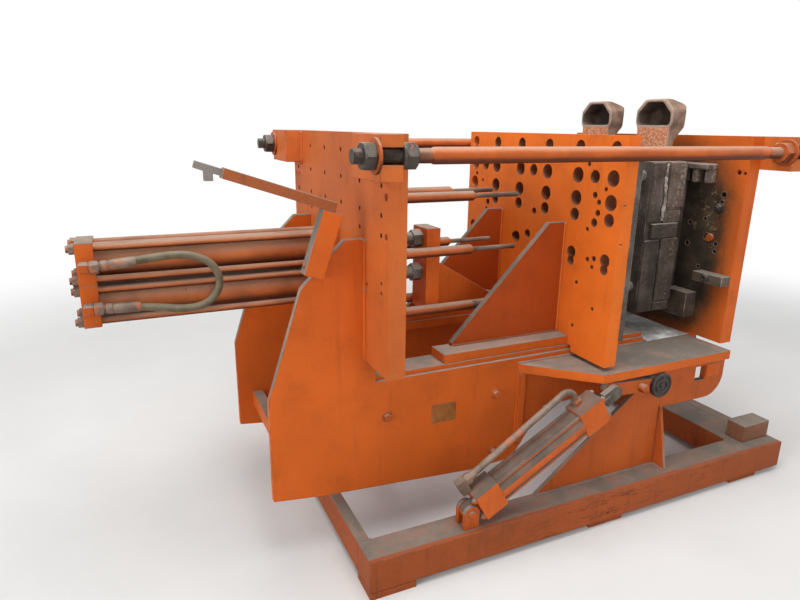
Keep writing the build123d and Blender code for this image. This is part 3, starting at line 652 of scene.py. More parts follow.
@dataclass(frozen=True)
class CupWash(Finish):
    """The cups' fired wash: pinkish tan outside, orange crust on rim and foot, and painted shade of dark
    brown inside, with painted light on one inner wall.
    """

    colour: Colour = (0.235, 0.150, 0.108)
    rim_front: float = 0.440
    foot_top: float = 1.478
    sand: Colour = (0.33, 0.245, 0.185)
    rim_tones: Tones = ((0.30, 0.205, 0.155), (0.44, 0.330, 0.260))
    foot_tones: Tones = ((0.50, 0.150, 0.060), (0.66, 0.36, 0.22))
    foot_specks: Colour = (0.085, 0.036, 0.020)
    # Painted shade inside the hollow, and painted light on its lit wall.
    inside_shade_tones: Tones = ((0.052, 0.038, 0.031), (0.125, 0.086, 0.068))
    lit_inside_wall: Colour = (0.25, 0.165, 0.125)

    def build(self) -> bpy.types.Material:
        """Makes the material.

        Returns:
            The material.
        """
        g = self.graph()
        patch = g.noise(14.0, 6.0, 0.62)
        fine = g.noise(120.0, 6.0, 0.7)
        colour = g.shades(g.step(patch, 0.34, 0.66), self.colour, 0.66, 1.40)
        colour = g.mix(g.step(fine, 0.52, 0.70) * 0.45, colour, self.sand)
        rim = g.step(g.along(X) + patch.sway(0.006), self.rim_front + 0.001, self.rim_front - 0.003)
        colour = g.mix(rim * 0.80, colour, g.mix(fine, *self.rim_tones))
        low = g.step(g.along(Z) + patch.sway(0.012), self.foot_top + 0.004, self.foot_top - 0.004)
        front = g.step(g.facing(X), -0.4, -0.8) * low
        speckled = g.mix(g.step(g.noise(105.0, 4.0, 0.8), 0.46, 0.58), *self.foot_tones)
        speckled = g.mix(g.step(g.cells(90.0), 0.24, 0.12) * 0.8, speckled, self.foot_specks)
        colour = g.mix(front * 0.92, colour, speckled)
        # Painted light on one inner wall, over the painted shade of the hollow.
        lit_wall = g.step(g.facing(Y) * g.along(Y) * 8.0 + patch.sway(0.4), 0.0, 0.7)
        dark = g.mix(g.step(patch, 0.40, 0.62), *self.inside_shade_tones)
        dark = g.mix(lit_wall * 0.35, dark, self.lit_inside_wall)
        colour = g.mix(g.mark("inside") * 0.92, colour, dark)
        return g.finish(colour, 0.82 + 0.1 * fine, g.bump(fine * 0.6 + patch * 0.4, 0.0035, 0.9), gloss=0.2)


@dataclass(frozen=True)
class HoseCover(Finish):
    """Old hydraulic hose: olive grey rubber with dust on top and a fine grain."""

    colour: Colour = (0.105, 0.082, 0.045)
    dusty: Tones = ((0.165, 0.135, 0.085), (0.26, 0.222, 0.152))

    def build(self) -> bpy.types.Material:
        """Makes the material.

        Returns:
            The material.
        """
        g = self.graph()
        patch = g.noise(26.0, 5.0, 0.6)
        fine = g.noise(260.0, 4.0, 0.7)
        colour = g.shades(g.step(patch, 0.35, 0.65), self.colour, 0.72, 1.3)
        lying = g.step(g.facing(Z) + patch.sway(0.5), -0.05, 0.85)
        colour = g.mix(lying * 0.60, colour, g.mix(fine, *self.dusty))
        return g.finish(colour, 0.62 + 0.2 * fine, g.bump(fine, 0.0007, 0.7))


@dataclass(frozen=True)
class Grease(Finish):
    """Thick black grease with brown rings where it has dried."""

    tones: Tones = ((0.010, 0.007, 0.007), (0.055, 0.034, 0.026))

    def build(self) -> bpy.types.Material:
        """Makes the material.

        Returns:
            The material.
        """
        g = self.graph()
        patch = g.noise(40.0, 6.0, 0.6)
        colour = g.mix(g.step(patch, 0.42, 0.62), *self.tones)
        return g.finish(colour, 0.30 + 0.45 * patch, g.bump(patch, 0.003, 0.9))


@dataclass(frozen=True)
class Brass(Finish):
    """A blank rating plate of tarnished brass under a wash of overspray."""

    tones: Tones = ((0.27, 0.080, 0.014), (0.34, 0.135, 0.028))

    def build(self) -> bpy.types.Material:
        """Makes the material.

        Returns:
            The material.
        """
        g = self.graph()
        patch = g.noise(34.0, 6.0, 0.6)
        colour = g.mix(g.step(patch, 0.35, 0.65), *self.tones)
        return g.finish(colour, 0.45 + 0.2 * patch, g.bump(patch, 0.0006, 0.6), 0.35)


LUGS = ShopPaint("orange_paint_lugs", (0.58, 0.132, 0.026), film=0.04, grime=0.30, chips=0.3, seed=2.5,
                 dust=0.42)

PAINT = ShopPaint("orange_paint_worn", film=0.02, grime=0.22).build()
LUG_PAINT = LUGS.build()
LEFT_PAINT = replace(LUGS, name="orange_paint_left", bore_shade=0.8).build()
# A lighter copy of the paint for the moving platen: its brighter colour is painted light.
LIT_MOVING_PAINT = ShopPaint("orange_paint_moving_lit", (0.80, 0.168, 0.018), film=0.02, grime=0.20, chips=0.3,
                         seed=2.0, dust=0.40, bore_shade=0.8).build()
SHELF_PAINT = ShopPaint("orange_paint_shelf", (0.64, 0.124, 0.014), film=0.02, grime=0.25, chips=0.4,
                        seed=6.5).build()
BURNT_PAINT = ShopPaint("orange_paint_burnt", (0.60, 0.115, 0.014), film=0.03, chips=0.4, seed=5.0,
                        dust=0.5, burnt=True).build()
SHADED_PAINT = ShopPaint("orange_paint_shaded", (0.41, 0.064, 0.007), film=0.02, chips=0.3, seed=9.0,
                         dust_tone_and_shade=0.62).build()
# A darker copy of the paint with heavier grime, for the uprights, levers and hanging plates: the darker
# colour and the heavier grime are painted shade.
SHADE_DARKENED_PAINT = ShopPaint("orange_paint_shade_darkened", (0.48, 0.094, 0.014), film=0.04, grime=0.42, chips=0.6,
                       seed=3.0).build()
# Its dust is darkened as painted shade, where the tilt cylinders lie under the shelf.
CYLINDER_PAINT = ShopPaint("orange_paint_cylinder", (0.56, 0.106, 0.014), film=0.04, grime=0.40,
                           chips=0.4, seed=8.0, dust=0.97, dust_tone_and_shade=0.56).build()
SKID_PAINT = ShopPaint("orange_paint_skid", (0.37, 0.078, 0.014), film=0.06, grime=0.60, chips=0.7,
                       seed=4.0, dust_tone_and_shade=0.88, patchy=0.30, cracked=0.85, wiped_from=0.587).build()
ARM_PAINT = ShopPaint("orange_paint_arm", (0.38, 0.098, 0.026), film=0.08, grime=0.5, chips=0.4,
                      seed=7.0, bare_left_of=-1.3245).build()
STOP_PAINT = ShopPaint("brown_stop_paint", (0.215, 0.082, 0.040), film=0.18, grime=0.3, chips=0.3,
                       seed=6.0).build()
ROD_PAINT = RoundPaint("rod_paint").build()
BUMPER_PAINT = RoundPaint("bumper_rod_paint", (0.46, 0.110, 0.024), (0.36, 0.26, 0.19), dust=0.9, smoke=0.1,
                          bare_right_of=-0.348).build()
TUBE_PAINT = RoundPaint("clamp_tube_paint", (0.46, 0.116, 0.026), (0.38, 0.190, 0.115), dust=0.95,
                        smoke=0.30, dust_and_highlight_from=-0.15).build()
NUT_PAINT = RoundPaint("painted_nuts", (0.42, 0.085, 0.017), (0.38, 0.23, 0.15), dust=0.8).build()
THREAD_PAINT = RoundPaint("painted_thread", (0.30, 0.135, 0.075), (0.42, 0.30, 0.21), dust=0.9,
                          smoke=0.3).build()
STEEL = DarkSteel("dark_steel").build()
NUT_STEEL = DarkSteel("greasy_nut_steel", (0.050, 0.038, 0.029), rust=0.25, dust=0.36, shine=0.35,
                      paint=0.05).build()
PAINTED_STEEL = DarkSteel("half_painted_steel", (0.085, 0.062, 0.046), rust=0.4, dust=0.55, shine=0.15,
                          paint=0.10, paint_colour=(0.34, 0.080, 0.022)).build()
PIPE_STEEL = DarkSteel("old_pipe", (0.17, 0.110, 0.075), rust=0.45, dust=0.28, shine=0.12, paint=0.22,
                       paint_colour=(0.36, 0.105, 0.038)).build()
# Pale sheet steel for the cover sheet, made lighter still as painted light where the mould's shadow falls on
# it.
LIT_SHEET_STEEL = DarkSteel("pale_sheet_lit", (0.78, 0.760, 0.72), rust=0.05, dust=0.10, shine=0.0).build()
PIN_STEEL = DarkSteel("mould_pin_steel", (0.20, 0.180, 0.160), rust=0.20, dust=0.30, shine=0.10).build()
IRON = BurntIron("mould_iron_burnt", (0.064, 0.048, 0.040), wash=0.35).build()
COATED_IRON = BurntIron("mould_iron_coated", (0.094, 0.068, 0.054), wash=1.0).build()
CRUST = Crust("coating_crust").build()
WASH = CupWash("cup_wash").build()
HOSE = HoseCover("hose_cover").build()
GREASE = Grease("hub_grease").build()
BRASS = Brass("blank_brass").build()


def full_turn(steps: int) -> np.ndarray:
    """The angles of one turn in equal steps, without the last."""
    return np.linspace(0.0, 2 * math.pi, steps, endpoint=False)


def both(side: int, point: Point) -> Point:
    """A point of the near side, or its mirror image on the far side when side is 1."""
    return (point[X], point[Y] if side < 0 else -point[Y], point[Z])


def outward(side: int) -> Point:
    """The direction away from the machine's middle on a side."""
    return (0.0, float(side), 0.0)


def ring_points(distance: np.ndarray, radius: np.ndarray, turn: np.ndarray, start: Point,
                axis: Point) -> np.ndarray:
    """Points round an axis: start + distance * axis + radius * (cos turn * side + sin turn * over).

    Args:
        distance: One for each row.
        radius: One for each row, or rows by columns.
        turn: One for each column.
        start: Where distance 0 is.
        axis: The direction.

    Returns:
        Rows by columns by three.
    """
    ahead = np.array(axis, float) / np.linalg.norm(axis)
    guide = np.array([0.0, 0.0, 1.0]) if abs(ahead[Z]) < 0.9 else np.array([1.0, 0.0, 0.0])
    side = np.cross(guide, ahead)
    side /= np.linalg.norm(side)
    over = np.cross(ahead, side)
    ring = np.cos(turn)[:, None] * side + np.sin(turn)[:, None] * over
    middle = np.array(start, float) + distance[:, None] * ahead
    radius = radius.reshape(len(distance), -1) + 0 * turn
    return middle[:, None, :] + radius[:, :, None] * ring[None, :, :]


class Surfaces:
    """Collects surfaces that are worked out on grids, and makes them one mesh."""

    # The rows of a nut: shares of its thickness, and greatest radii as shares of its width across flats.
    nut_levels = np.array([0.0, 0.10, 0.16, 0.5, 0.84, 0.91, 1.0, 1.0])
    nut_cone = np.array([0.50, 0.545, 0.60, 0.60, 0.60, 0.545, 0.49, 0.30])
    thread_pitch = 0.0042
    ripple_pitch = 0.006

    def __init__(self) -> None:
        """Starts with no surfaces."""
        self.points: list[np.ndarray] = []
        self.faces: list[tuple[int, ...]] = []
        self.count = 0

    def add(self, points: np.ndarray, closed: bool = True, capped: bool = True) -> "Surfaces":
        """Adds a grid of points as quads.

        Args:
            points: Rows by columns by three, in metres.
            closed: Whether each row's last column joins its first.
            capped: Whether the first and last rows are filled with one face each.

        Returns:
            This collection, so that calls chain.
        """
        rows, columns = points.shape[:2]
        index = np.arange(rows * columns).reshape(rows, columns) + self.count
        after = np.roll(index, -1, axis=1)
        span = columns if closed else columns - 1
        quads = np.stack([index[:-1, :span], index[1:, :span], after[1:, :span], after[:-1, :span]], axis=-1)
        self.faces += [tuple(face) for face in quads.reshape(-1, 4).tolist()]
        if capped:
            self.faces += [tuple(index[0].tolist()), tuple(index[-1][::-1].tolist())]
        self.points.append(points.reshape(-1, 3))
        self.count += rows * columns
        return self

    def lathe(self, profile: Profile, start: Point, axis: Point, sides: int) -> "Surfaces":
        """A profile turned round an axis: start + distance * axis + radius * (cos, sin) of the turn."""
        distance, radius = np.array(profile, float).T
        return self.add(ring_points(distance, radius, full_turn(sides), start, axis))

    def turned(self, profile: Profile, start: Point, axis: Point, sides: int) -> "Surfaces":
        """A profile turned as lathe() does, whose ends run in to the axis."""
        first, last = profile[0][0], profile[-1][0]
        return self.lathe([(first, 0.0), *profile, (last, 0.0)], start, axis, sides)

    def hexagon(self, thickness: float, flats: float, start: Point, axis: Point, dome: float = 0.0,
                turned: float = math.pi / 6) -> "Surfaces":
        """A nut or bolt head: its radius is the lesser of a hexagon's at that turn and a cone's there.

        Args:
            thickness: Its thickness along the axis.
            flats: Its width across flats.
            start: The middle of its face that bears.
            axis: The direction away from that face.
            dome: How far a bolt's end stands out of it.
            turned: How far its corners are turned round.

        Returns:
            This collection.
        """
        turn = full_turn(48)
        corner = flats / 2 / np.cos((turn + turned) % (math.pi / 3) - math.pi / 6)
        radius = np.minimum(corner[None, :], self.nut_cone[:, None] * flats)
        self.add(ring_points(self.nut_levels * thickness, radius, turn, start, axis))
        if dome:
            end = tuple(np.array(start) + np.array(axis) * thickness * 0.98)
            self.lathe([(0.0, flats * 0.30), (dome * 0.7, flats * 0.30), (dome, flats * 0.25)], end, axis, 24)
        return self

    def thread(self, length: float, radius: float, start: Point) -> "Surfaces":
        """A screw thread along X: the radius falls by a triangle wave of distance / pitch less share of turn.

        Args:
            length: Its length.
            radius: Its outer radius.
            start: Where it starts.

        Returns:
            This collection.
        """
        turn = full_turn(30)
        distance = np.arange(0.0, length, self.thread_pitch / 4)
        phase = (distance[:, None] / self.thread_pitch - turn[None, :] / (2 * math.pi)) % 1.0
        cut = self.thread_pitch * 0.50 * np.abs(2 * phase - 1)
        return self.add(ring_points(distance, radius - cut, turn, start, RIGHTWARD))

    def bead(self, first: Point, last: Point, radius: float) -> "Surfaces":
        """A weld bead: a straight tube whose radius swells with each ripple, wanders a little and dies out.

        Args:
            first: Where it starts.
            last: Where it ends.
            radius: Its mean radius.

        Returns:
            This collection.
        """
        start, end = np.array(first, float), np.array(last, float)
        length = float(np.linalg.norm(end - start))
        distance = np.linspace(0.0, length, max(4, int(length / self.ripple_pitch * 2)))
        ripple = (1 + 0.16 * np.abs(np.sin(math.pi * distance / self.ripple_pitch))
                  + 0.10 * np.sin(distance * 61 + start.sum()))
        ends = np.clip(np.minimum(distance, length - distance) / radius + 0.35, 0, 1)
        return self.add(ring_points(distance, radius * ripple * ends, full_turn(8), first,
                                    tuple((end - start) / length)))

    def twin_beads(self, *runs: tuple[Point, Point, float]) -> "Surfaces":
        """Weld beads and their mirror images.

        Args:
            runs: A start, an end and a radius each, on the near side.

        Returns:
            This collection.
        """
        for side in SIDES:
            for first, last, radius in runs:
                self.bead(both(side, first), both(side, last), radius)
        return self

    def tube(self, path: np.ndarray, radius: float, sides: int) -> "Surfaces":
        """A round tube: a point is the curve's + radius * (cos * side + sin * over) of the turn.

        Args:
            path: The curve's points.
            radius: The tube's radius.
            sides: How many steps a ring has.

        Returns:
            This collection.
        """
        ahead = np.gradient(path, axis=0)
        ahead /= np.linalg.norm(ahead, axis=1)[:, None]
        side = np.cross(ahead, np.array([0.0, 1.0, 0.0]))
        side /= np.linalg.norm(side, axis=1)[:, None]
        over = np.cross(side, ahead)
        turn = full_turn(sides)[None, :, None]
        ring = np.cos(turn) * side[:, None, :] + np.sin(turn) * over[:, None, :]
        return self.add(path[:, None, :] + radius * ring)

    def block(self, low: Point, high: Point, edge: float) -> "Surfaces":
        """A block with rounded upright edges and eased ends: a rounded rectangle carried along Z.

        Args:
            low: Its lowest corner.
            high: Its highest corner.
            edge: The radius of its edges.

        Returns:
            This collection.
        """
        low, high = np.array(low, float), np.array(high, float)
        half = (high - low) / 2
        middle = (high + low) / 2
        turn = full_turn(16) + math.pi / 16
        outline = np.stack([np.cos(turn), np.sin(turn)], axis=-1)
        edge = min(edge, *(half * 0.9))
        rows = []
        tall = half[Z]
        for level, shrink in ((-tall, edge), (-tall + edge, 0.0), (tall - edge, 0.0), (tall, edge)):
            corner = np.sign(outline) * (half[:Z] - edge) + outline * (edge - shrink * 0.99)
            rows.append(np.concatenate([corner + middle[:Z], np.full((16, 1), level + middle[Z])], axis=1))
        return self.add(np.array(rows))

    def side_block(self, side: int, low: Point, high: Point, edge: float) -> "Surfaces":
        """A block of one side, whose corners' Y is a distance from the machine's middle."""
        near, far = sorted((side * low[Y], side * high[Y]))
        return self.block((low[X], near, low[Z]), (high[X], far, high[Z]), edge)

    def mesh(self, name: str) -> bpy.types.Mesh:
        """The surfaces as a mesh whose faces point outwards.

        Args:
            name: The mesh's name.

        Returns:
            The mesh.
        """
        made = bpy.data.meshes.new(name)
        made.from_pydata(np.concatenate(self.points), [], self.faces)
        form = bmesh.new()
        form.from_mesh(made)
        bmesh.ops.recalc_face_normals(form, faces=form.faces)
        form.to_mesh(made)
        form.free()
        return made

    def build(self, name: str, body: Body, slot: Slot, material: bpy.types.Material,
              stands_for: Sequence[str] = (), sharp: float = SHARP_ANGLE) -> bpy.types.Object:
        """Makes the mesh and places it as placed_piece() does."""
        return placed_piece(self.mesh(name), name, body, material, stands_for, sharp)


def linked(name: str, data: bpy.types.ID) -> bpy.types.Object:
    """A new object in the scene.

    Args:
        name: Its name.
        data: What it shows.

    Returns:
        The object.
    """
    made = bpy.data.objects.new(name, data)
    bpy.context.scene.collection.objects.link(made)
    return made


def applied(blank: bpy.types.Object) -> bpy.types.Mesh:
    """An object's mesh with its modifiers applied, after which the object is gone.

    Args:
        blank: The object.

    Returns:
        The mesh.
    """
    bpy.context.view_layer.update()
    mesh = bpy.data.meshes.new_from_object(blank.evaluated_get(bpy.context.evaluated_depsgraph_get()))
    bpy.data.objects.remove(blank)
    return mesh


def placed_piece(mesh: bpy.types.Mesh, name: str, body: Body, material: bpy.types.Material,
                 stands_for: Sequence[str] = (), sharp: float = SHARP_ANGLE) -> bpy.types.Object:
    """Puts a mesh in the scene as a piece on a body.

    Args:
        mesh: The mesh, in the frame of the model.
        name: The piece's name.
        body: What it moves with.
        material: Its finish.
        stands_for: CAD nodes that it takes the place of.
        sharp: Edges that turn more than so many degrees stay sharp.

    Returns:
        The piece.
    """
    mesh.polygons.foreach_set("use_smooth", np.ones(len(mesh.polygons), bool))
    mesh.set_sharp_from_angle(angle=math.radians(sharp))
    mesh.materials.clear()
    mesh.materials.append(material)
    piece = linked(name, mesh)
    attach(piece, body.value)
    if stands_for:
        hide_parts(*stands_for)
    log.info("%s on %s: %d faces", name, body.value, len(mesh.polygons))
    return piece


def merged(mesh: bpy.types.Mesh) -> bmesh.types.BMesh:
    """A form to work on, in which a mesh's loose triangles are joined.

    Args:
        mesh: The mesh.

    Returns:
        The form.
    """
    form = bmesh.new()
    form.from_mesh(mesh)
    bmesh.ops.remove_doubles(form, verts=form.verts, dist=MERGE_REACH)
    return form


def drilled(mesh: bpy.types.Mesh, drills: Surfaces) -> bpy.types.Mesh:
    """A mesh with the plugs cut out of it.

    Args:
        mesh: The mesh.
        drills: The plugs.

    Returns:
        The drilled mesh.
    """
    plugs = linked("drill_plugs", drills.mesh("drill_plugs"))
    blank = linked("drill_blank", mesh)
    cut = blank.modifiers.new("cut", "BOOLEAN")
    cut.operation = "DIFFERENCE"
    cut.solver = "MANIFOLD"
    cut.object = plugs
    result = applied(blank)
    bpy.data.objects.remove(plugs)
    return result


def eased(node: str, width: float, body: Body, material: bpy.types.Material,
          drills: Optional[Surfaces] = None) -> bpy.types.Object:
    """A copy of a CAD node that stands for it, with its sharp edges broken and marked for wear.

    Args:
        node: The CAD node.
        width: The width of the broken edge.
        body: What it moves with.
        material: Its finish.
        drills: Plugs to cut out of it first.

    Returns:
        The piece.
    """
    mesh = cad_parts[node].data.copy()
    form = merged(mesh)
    if drills is not None:
        form.to_mesh(mesh)
        mesh = drilled(mesh, drills)
        form.clear()
        form.from_mesh(mesh)
    bmesh.ops.dissolve_limit(form, angle_limit=math.radians(0.6), verts=form.verts, edges=form.edges)
    sharp = [edge for edge in form.edges if len(edge.link_faces) == 2 and edge.calc_face_angle(0.0) > 0.62]
    layer = form.faces.layers.float.new("edge")
    made = bmesh.ops.bevel(form, geom=sharp, offset=width, offset_type="OFFSET", segments=2, profile=0.6,
                           affect="EDGES", clamp_overlap=True)
    for face in made["faces"]:
        face[layer] = 1.0
    form.to_mesh(mesh)
    form.free()
    piece = placed_piece(mesh, f"{node}_eased", body, material, [node])
    even = piece.modifiers.new("even", "WEIGHTED_NORMAL")
    even.keep_sharp = True
    even.weight = 100
    return piece


def dress(material: bpy.types.Material, *nodes: str) -> None:
    """Gives CAD nodes a finish in their own material slots.

    Args:
        material: The finish.
        nodes: The nodes.
    """
    for node in nodes:
        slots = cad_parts[node].data.materials
        slots.clear()
        slots.append(material)


@dataclass(frozen=True)
class Lamp:
    """A square soft lamp that looks at the middle of the machine."""

    name: str
    place: Point
    size: float
    power: float
    aim: Point = (-0.2, 0.0, 0.8)

    def build(self) -> None:
        """Hangs the lamp."""
        data = bpy.data.lights.new(self.name, "AREA")
        data.shape = "SQUARE"
        data.size = self.size
        data.energy = self.power
        lamp = linked(self.name, data)
        lamp.location = self.place
        lamp.rotation_euler = (Vector(self.aim) - Vector(self.place)).to_track_quat("-Z", "Y").to_euler()


@dataclass
class Studio:
    """The camera at the photograph's viewpoint, soft lamps, a pale floor and a white surround."""

    eye: Point = (-1.5821, -2.1020, 1.4689)
    pitch: float = 0.27812
    yaw: float = 0.42994
    roll: float = 0.01297
    focal: float = 607.3
    width: float = 800.0
    sensor: float = 36.0
    surround_light: float = 0.36
    surround_tint: Colour = (0.93, 0.96, 1.0)
    floor_half: float = 14.0
    floor_tones: Tones = ((0.66, 0.655, 0.64), (0.74, 0.735, 0.72))
    floor_fades_from: float = 2.6
    floor_white_at: float = 5.4
    lamps: tuple[Lamp, ...] = (
        Lamp("overhead", (-0.8, -0.5, 4.4), size=3.0, power=160.0),
        Lamp("left", (-6.4, -2.1, 2.1), size=2.6, power=158.0),
        Lamp("front", (-0.5, -5.3, 2.3), size=2.6, power=64.0),
        Lamp("right_fill", (4.6, -2.4, 2.6), size=2.6, power=32.0),
        Lamp("back_fill", (0.5, 4.6, 3.0), size=2.8, power=45.0))

    def camera(self) -> None:
        """Places the camera: its axes are turned by yaw, then pitch, then roll."""
        ahead = Vector((math.sin(self.yaw) * math.cos(self.pitch), math.cos(self.yaw) * math.cos(self.pitch),
                        -math.sin(self.pitch)))
        right = Vector((math.cos(self.yaw), -math.sin(self.yaw), 0.0))
        over = right.cross(ahead)
        cosine, sine = math.cos(self.roll), math.sin(self.roll)
        data = bpy.data.cameras.new("camera")
        data.sensor_width = self.sensor
        data.lens = self.sensor * self.focal / self.width
        data.clip_start = 0.05
        data.clip_end = 60.0
        camera = linked("camera", data)
        turned = Matrix((right * cosine + over * sine, over * cosine - right * sine, -ahead)).transposed()
        camera.matrix_world = Matrix.Translation(self.eye) @ turned.to_4x4()
        bpy.context.scene.camera = camera

    def surround(self) -> None:
        """A world that lights the object softly and shows white to the camera and in reflections."""
        world = bpy.data.worlds.new("studio")
        bpy.context.scene.world = world
        g = Graph(world)
        seen = g.node("ShaderNodeLightPath", output="Is Camera Ray")
        for kind in ("Is Glossy Ray", "Is Transmission Ray"):
            seen = g.highest(seen, g.node("ShaderNodeLightPath", output=kind))
        soft = g.node("ShaderNodeBackground", values={0: (*self.surround_tint, 1.0), 1: self.surround_light})
        white = g.node("ShaderNodeBackground", values={0: (1.0, 1.0, 1.0, 1.0), 1: 1.0})
        g.end("ShaderNodeOutputWorld", g.node("ShaderNodeMixShader", values={0: seen, 1: soft, 2: white}))

    def floor(self) -> None:
        """A pale floor of flat one metre cells, which turns white far off where the camera sees it."""
        steps = np.arange(-self.floor_half, self.floor_half + 0.5)
        across, away = np.meshgrid(steps, steps)
        points = np.stack([across, away, np.zeros_like(away)], axis=-1)
        sheet = Surfaces().add(points, closed=False, capped=False)
        mesh = bpy.data.meshes.new("floor")
        mesh.from_pydata(np.concatenate(sheet.points), [], [face[::-1] for face in sheet.faces])
        g = Graph(bpy.data.materials.new("pale_floor"))
        tint = g.mix(g.noise(2.2, 5.0, 0.6), *self.floor_tones)
        near = g.node("ShaderNodeBsdfDiffuse", values={"Color": tint, "Roughness": 0.6})
        glow = g.node("ShaderNodeEmission", values={"Color": (1.0, 1.0, 1.0, 1.0), "Strength": 1.0})
        reach = g.node("ShaderNodeVectorMath", {"operation": "LENGTH"}, {0: g.place()}, "Value")
        seen = g.node("ShaderNodeLightPath", output="Is Camera Ray")
        fade = g.step(reach, self.floor_fades_from, self.floor_white_at) * seen
        g.end("ShaderNodeOutputMaterial", g.node("ShaderNodeMixShader", values={0: fade, 1: near, 2: glow}))
        mesh.materials.append(g.owner)
        linked("floor", mesh)

    def build(self) -> None:
        """Sets up the camera, the light and the floor."""
        bpy.context.scene.view_settings.view_transform = "Standard"
        self.camera()
        self.surround()
        self.floor()
        for lamp in self.lamps:
            lamp.build()


@dataclass
class Skid:
    """The base: two rails, cross members, stop blocks, uprights and cylinder clevises."""

    left_end: float = -0.940
    rail_inner: float = 0.488
    rail_top: float = 0.142
    upright_left: float = -0.283
    upright_outer: float = 0.504
    gusset: float = 0.305
    gusset_reach: float = 0.062

    def members(self) -> None:
        """Rails, cross members, channel, stops, clevises, packers and the triangular uprights."""
        for node in ("near_rail", "far_rail", "left_cross_member", "right_cross_member"):
            eased(node, 0.004, Body.BASE, SKID_PAINT)
        eased("end_channel", 0.003, Body.BASE, SKID_PAINT)
        eased("stop_blocks", 0.004, Body.BASE, STOP_PAINT)
        for node in ("cylinder_clevises", "near_upright", "far_upright"):
            eased(node, 0.002, Body.BASE, SHADE_DARKENED_PAINT)
        dress(SKID_PAINT, "foot_pads")

    def welds(self) -> None:
        """Fillet beads where the members meet."""
        top, y, inner = self.rail_top + 0.001, -self.upright_outer - 0.003, -self.rail_inner + 0.002
        beads = Surfaces().twin_beads(
            ((self.upright_left, y, top), (self.gusset, y, top), 0.006),
            ((self.gusset, y, top), (self.gusset, y - self.gusset_reach, top), 0.005),
            ((self.gusset + 0.003, y, top), (self.gusset + 0.003, y, 0.40), 0.005),
            *(((x, inner, 0.03), (x, inner, self.rail_top), 0.005) for x in (self.left_end, 0.767, 0.926)))
        beads.build("skid_welds", Body.BASE, Slot.PAINT, SKID_PAINT)

    def build(self) -> None:
        """Builds the skid."""
        self.members()
        self.welds()


@dataclass
class TiltCylinders:
    """The two cylinders that tilt the frame, each with stay rods, nuts, a pipe and fittings."""

    base_pin: Point = (-0.603, -0.551, 0.200)
    lean: float = math.radians(28.630198679715672)
    stay_across: float = 0.029
    stay_up: float = 0.040
    cap_start: float = 0.036
    rod_end: float = 0.617
    stay_flats: float = 0.019
    head_half_height: float = 0.053
    pipe_start: Point = (0.046, 0.021, 0.092)
    pipe_end: Point = (0.548, 0.021, 0.128)
    union_flats: float = 0.036

    def along(self, distance: float, across: float, up: float) -> Point:
        """A point of the near cylinder's own frame, in the model's.

        Args:
            distance: How far along the axis it lies from the base pin.
            across: How far away from the near side it lies.
            up: How far over the axis it lies.

        Returns:
            The point.
        """
        cosine, sine = math.cos(self.lean), math.sin(self.lean)
        return (self.base_pin[X] + distance * cosine - up * sine, self.base_pin[Y] + across,
                self.base_pin[Z] + distance * sine + up * cosine)

    def direction(self, ahead: float, up: float) -> Point:
        """A direction of the cylinder's own frame, in the model's."""
        cosine, sine = math.cos(self.lean), math.sin(self.lean)
        return (ahead * cosine - up * sine, 0.0, ahead * sine + up * cosine)

    def nuts(self, side: int) -> Surfaces:
        """A nut on both ends of each stay rod of one cylinder.

        Args:
            side: The cylinder's side.

        Returns:
            The nuts.
        """
        made = Surfaces()
        for y in (-self.stay_across, self.stay_across):
            for z in (-self.stay_up, self.stay_up):
                for end, way, dome in ((self.rod_end, 1.0, 0.004), (self.cap_start, -1.0, 0.005)):
                    made.hexagon(0.011, self.stay_flats, both(side, self.along(end, y, z)),
                                 self.direction(way, 0.0), dome)
        return made

    def unions(self, side: int) -> Surfaces:
        """The pipe's unions: a nut and a collar in line with it at the cap, and a nut on the rod's head.

        Args:
            side: The cylinder's side.

        Returns:
            The unions.
        """
        start, end = self.along(*self.pipe_start), self.along(*self.pipe_end)
        run = np.array(end) - np.array(start)
        ahead = tuple(run / np.linalg.norm(run))
        made = Surfaces().hexagon(0.022, self.union_flats, both(side, start), both(side, ahead))
        made.turned([(0.020, 0.0155), (0.040, 0.0155), (0.044, 0.013)], both(side, start),
                    both(side, ahead), 28)
        port = self.along(self.pipe_end[X], self.pipe_end[Y], self.head_half_height)
        return made.hexagon(0.018, self.union_flats, both(side, port), self.direction(0.0, 1.0))

    def build(self) -> None:
        """Builds both cylinders."""
        for side, label, barrel in ((-1, "near", Body.NEAR_CYLINDER), (1, "far", Body.FAR_CYLINDER)):
            eased(f"{label}_tilt_cylinder", 0.0015, barrel, CYLINDER_PAINT)
            dress(STEEL, f"{label}_tilt_rod")
            dress(PIPE_STEEL, f"{label}_cylinder_pipe")
            self.nuts(side).build(f"{label}_cylinder_nuts", barrel, Slot.PAINT, SHADE_DARKENED_PAINT)
            self.unions(side).build(f"{label}_pipe_unions", barrel, Slot.STEEL, PIPE_STEEL)


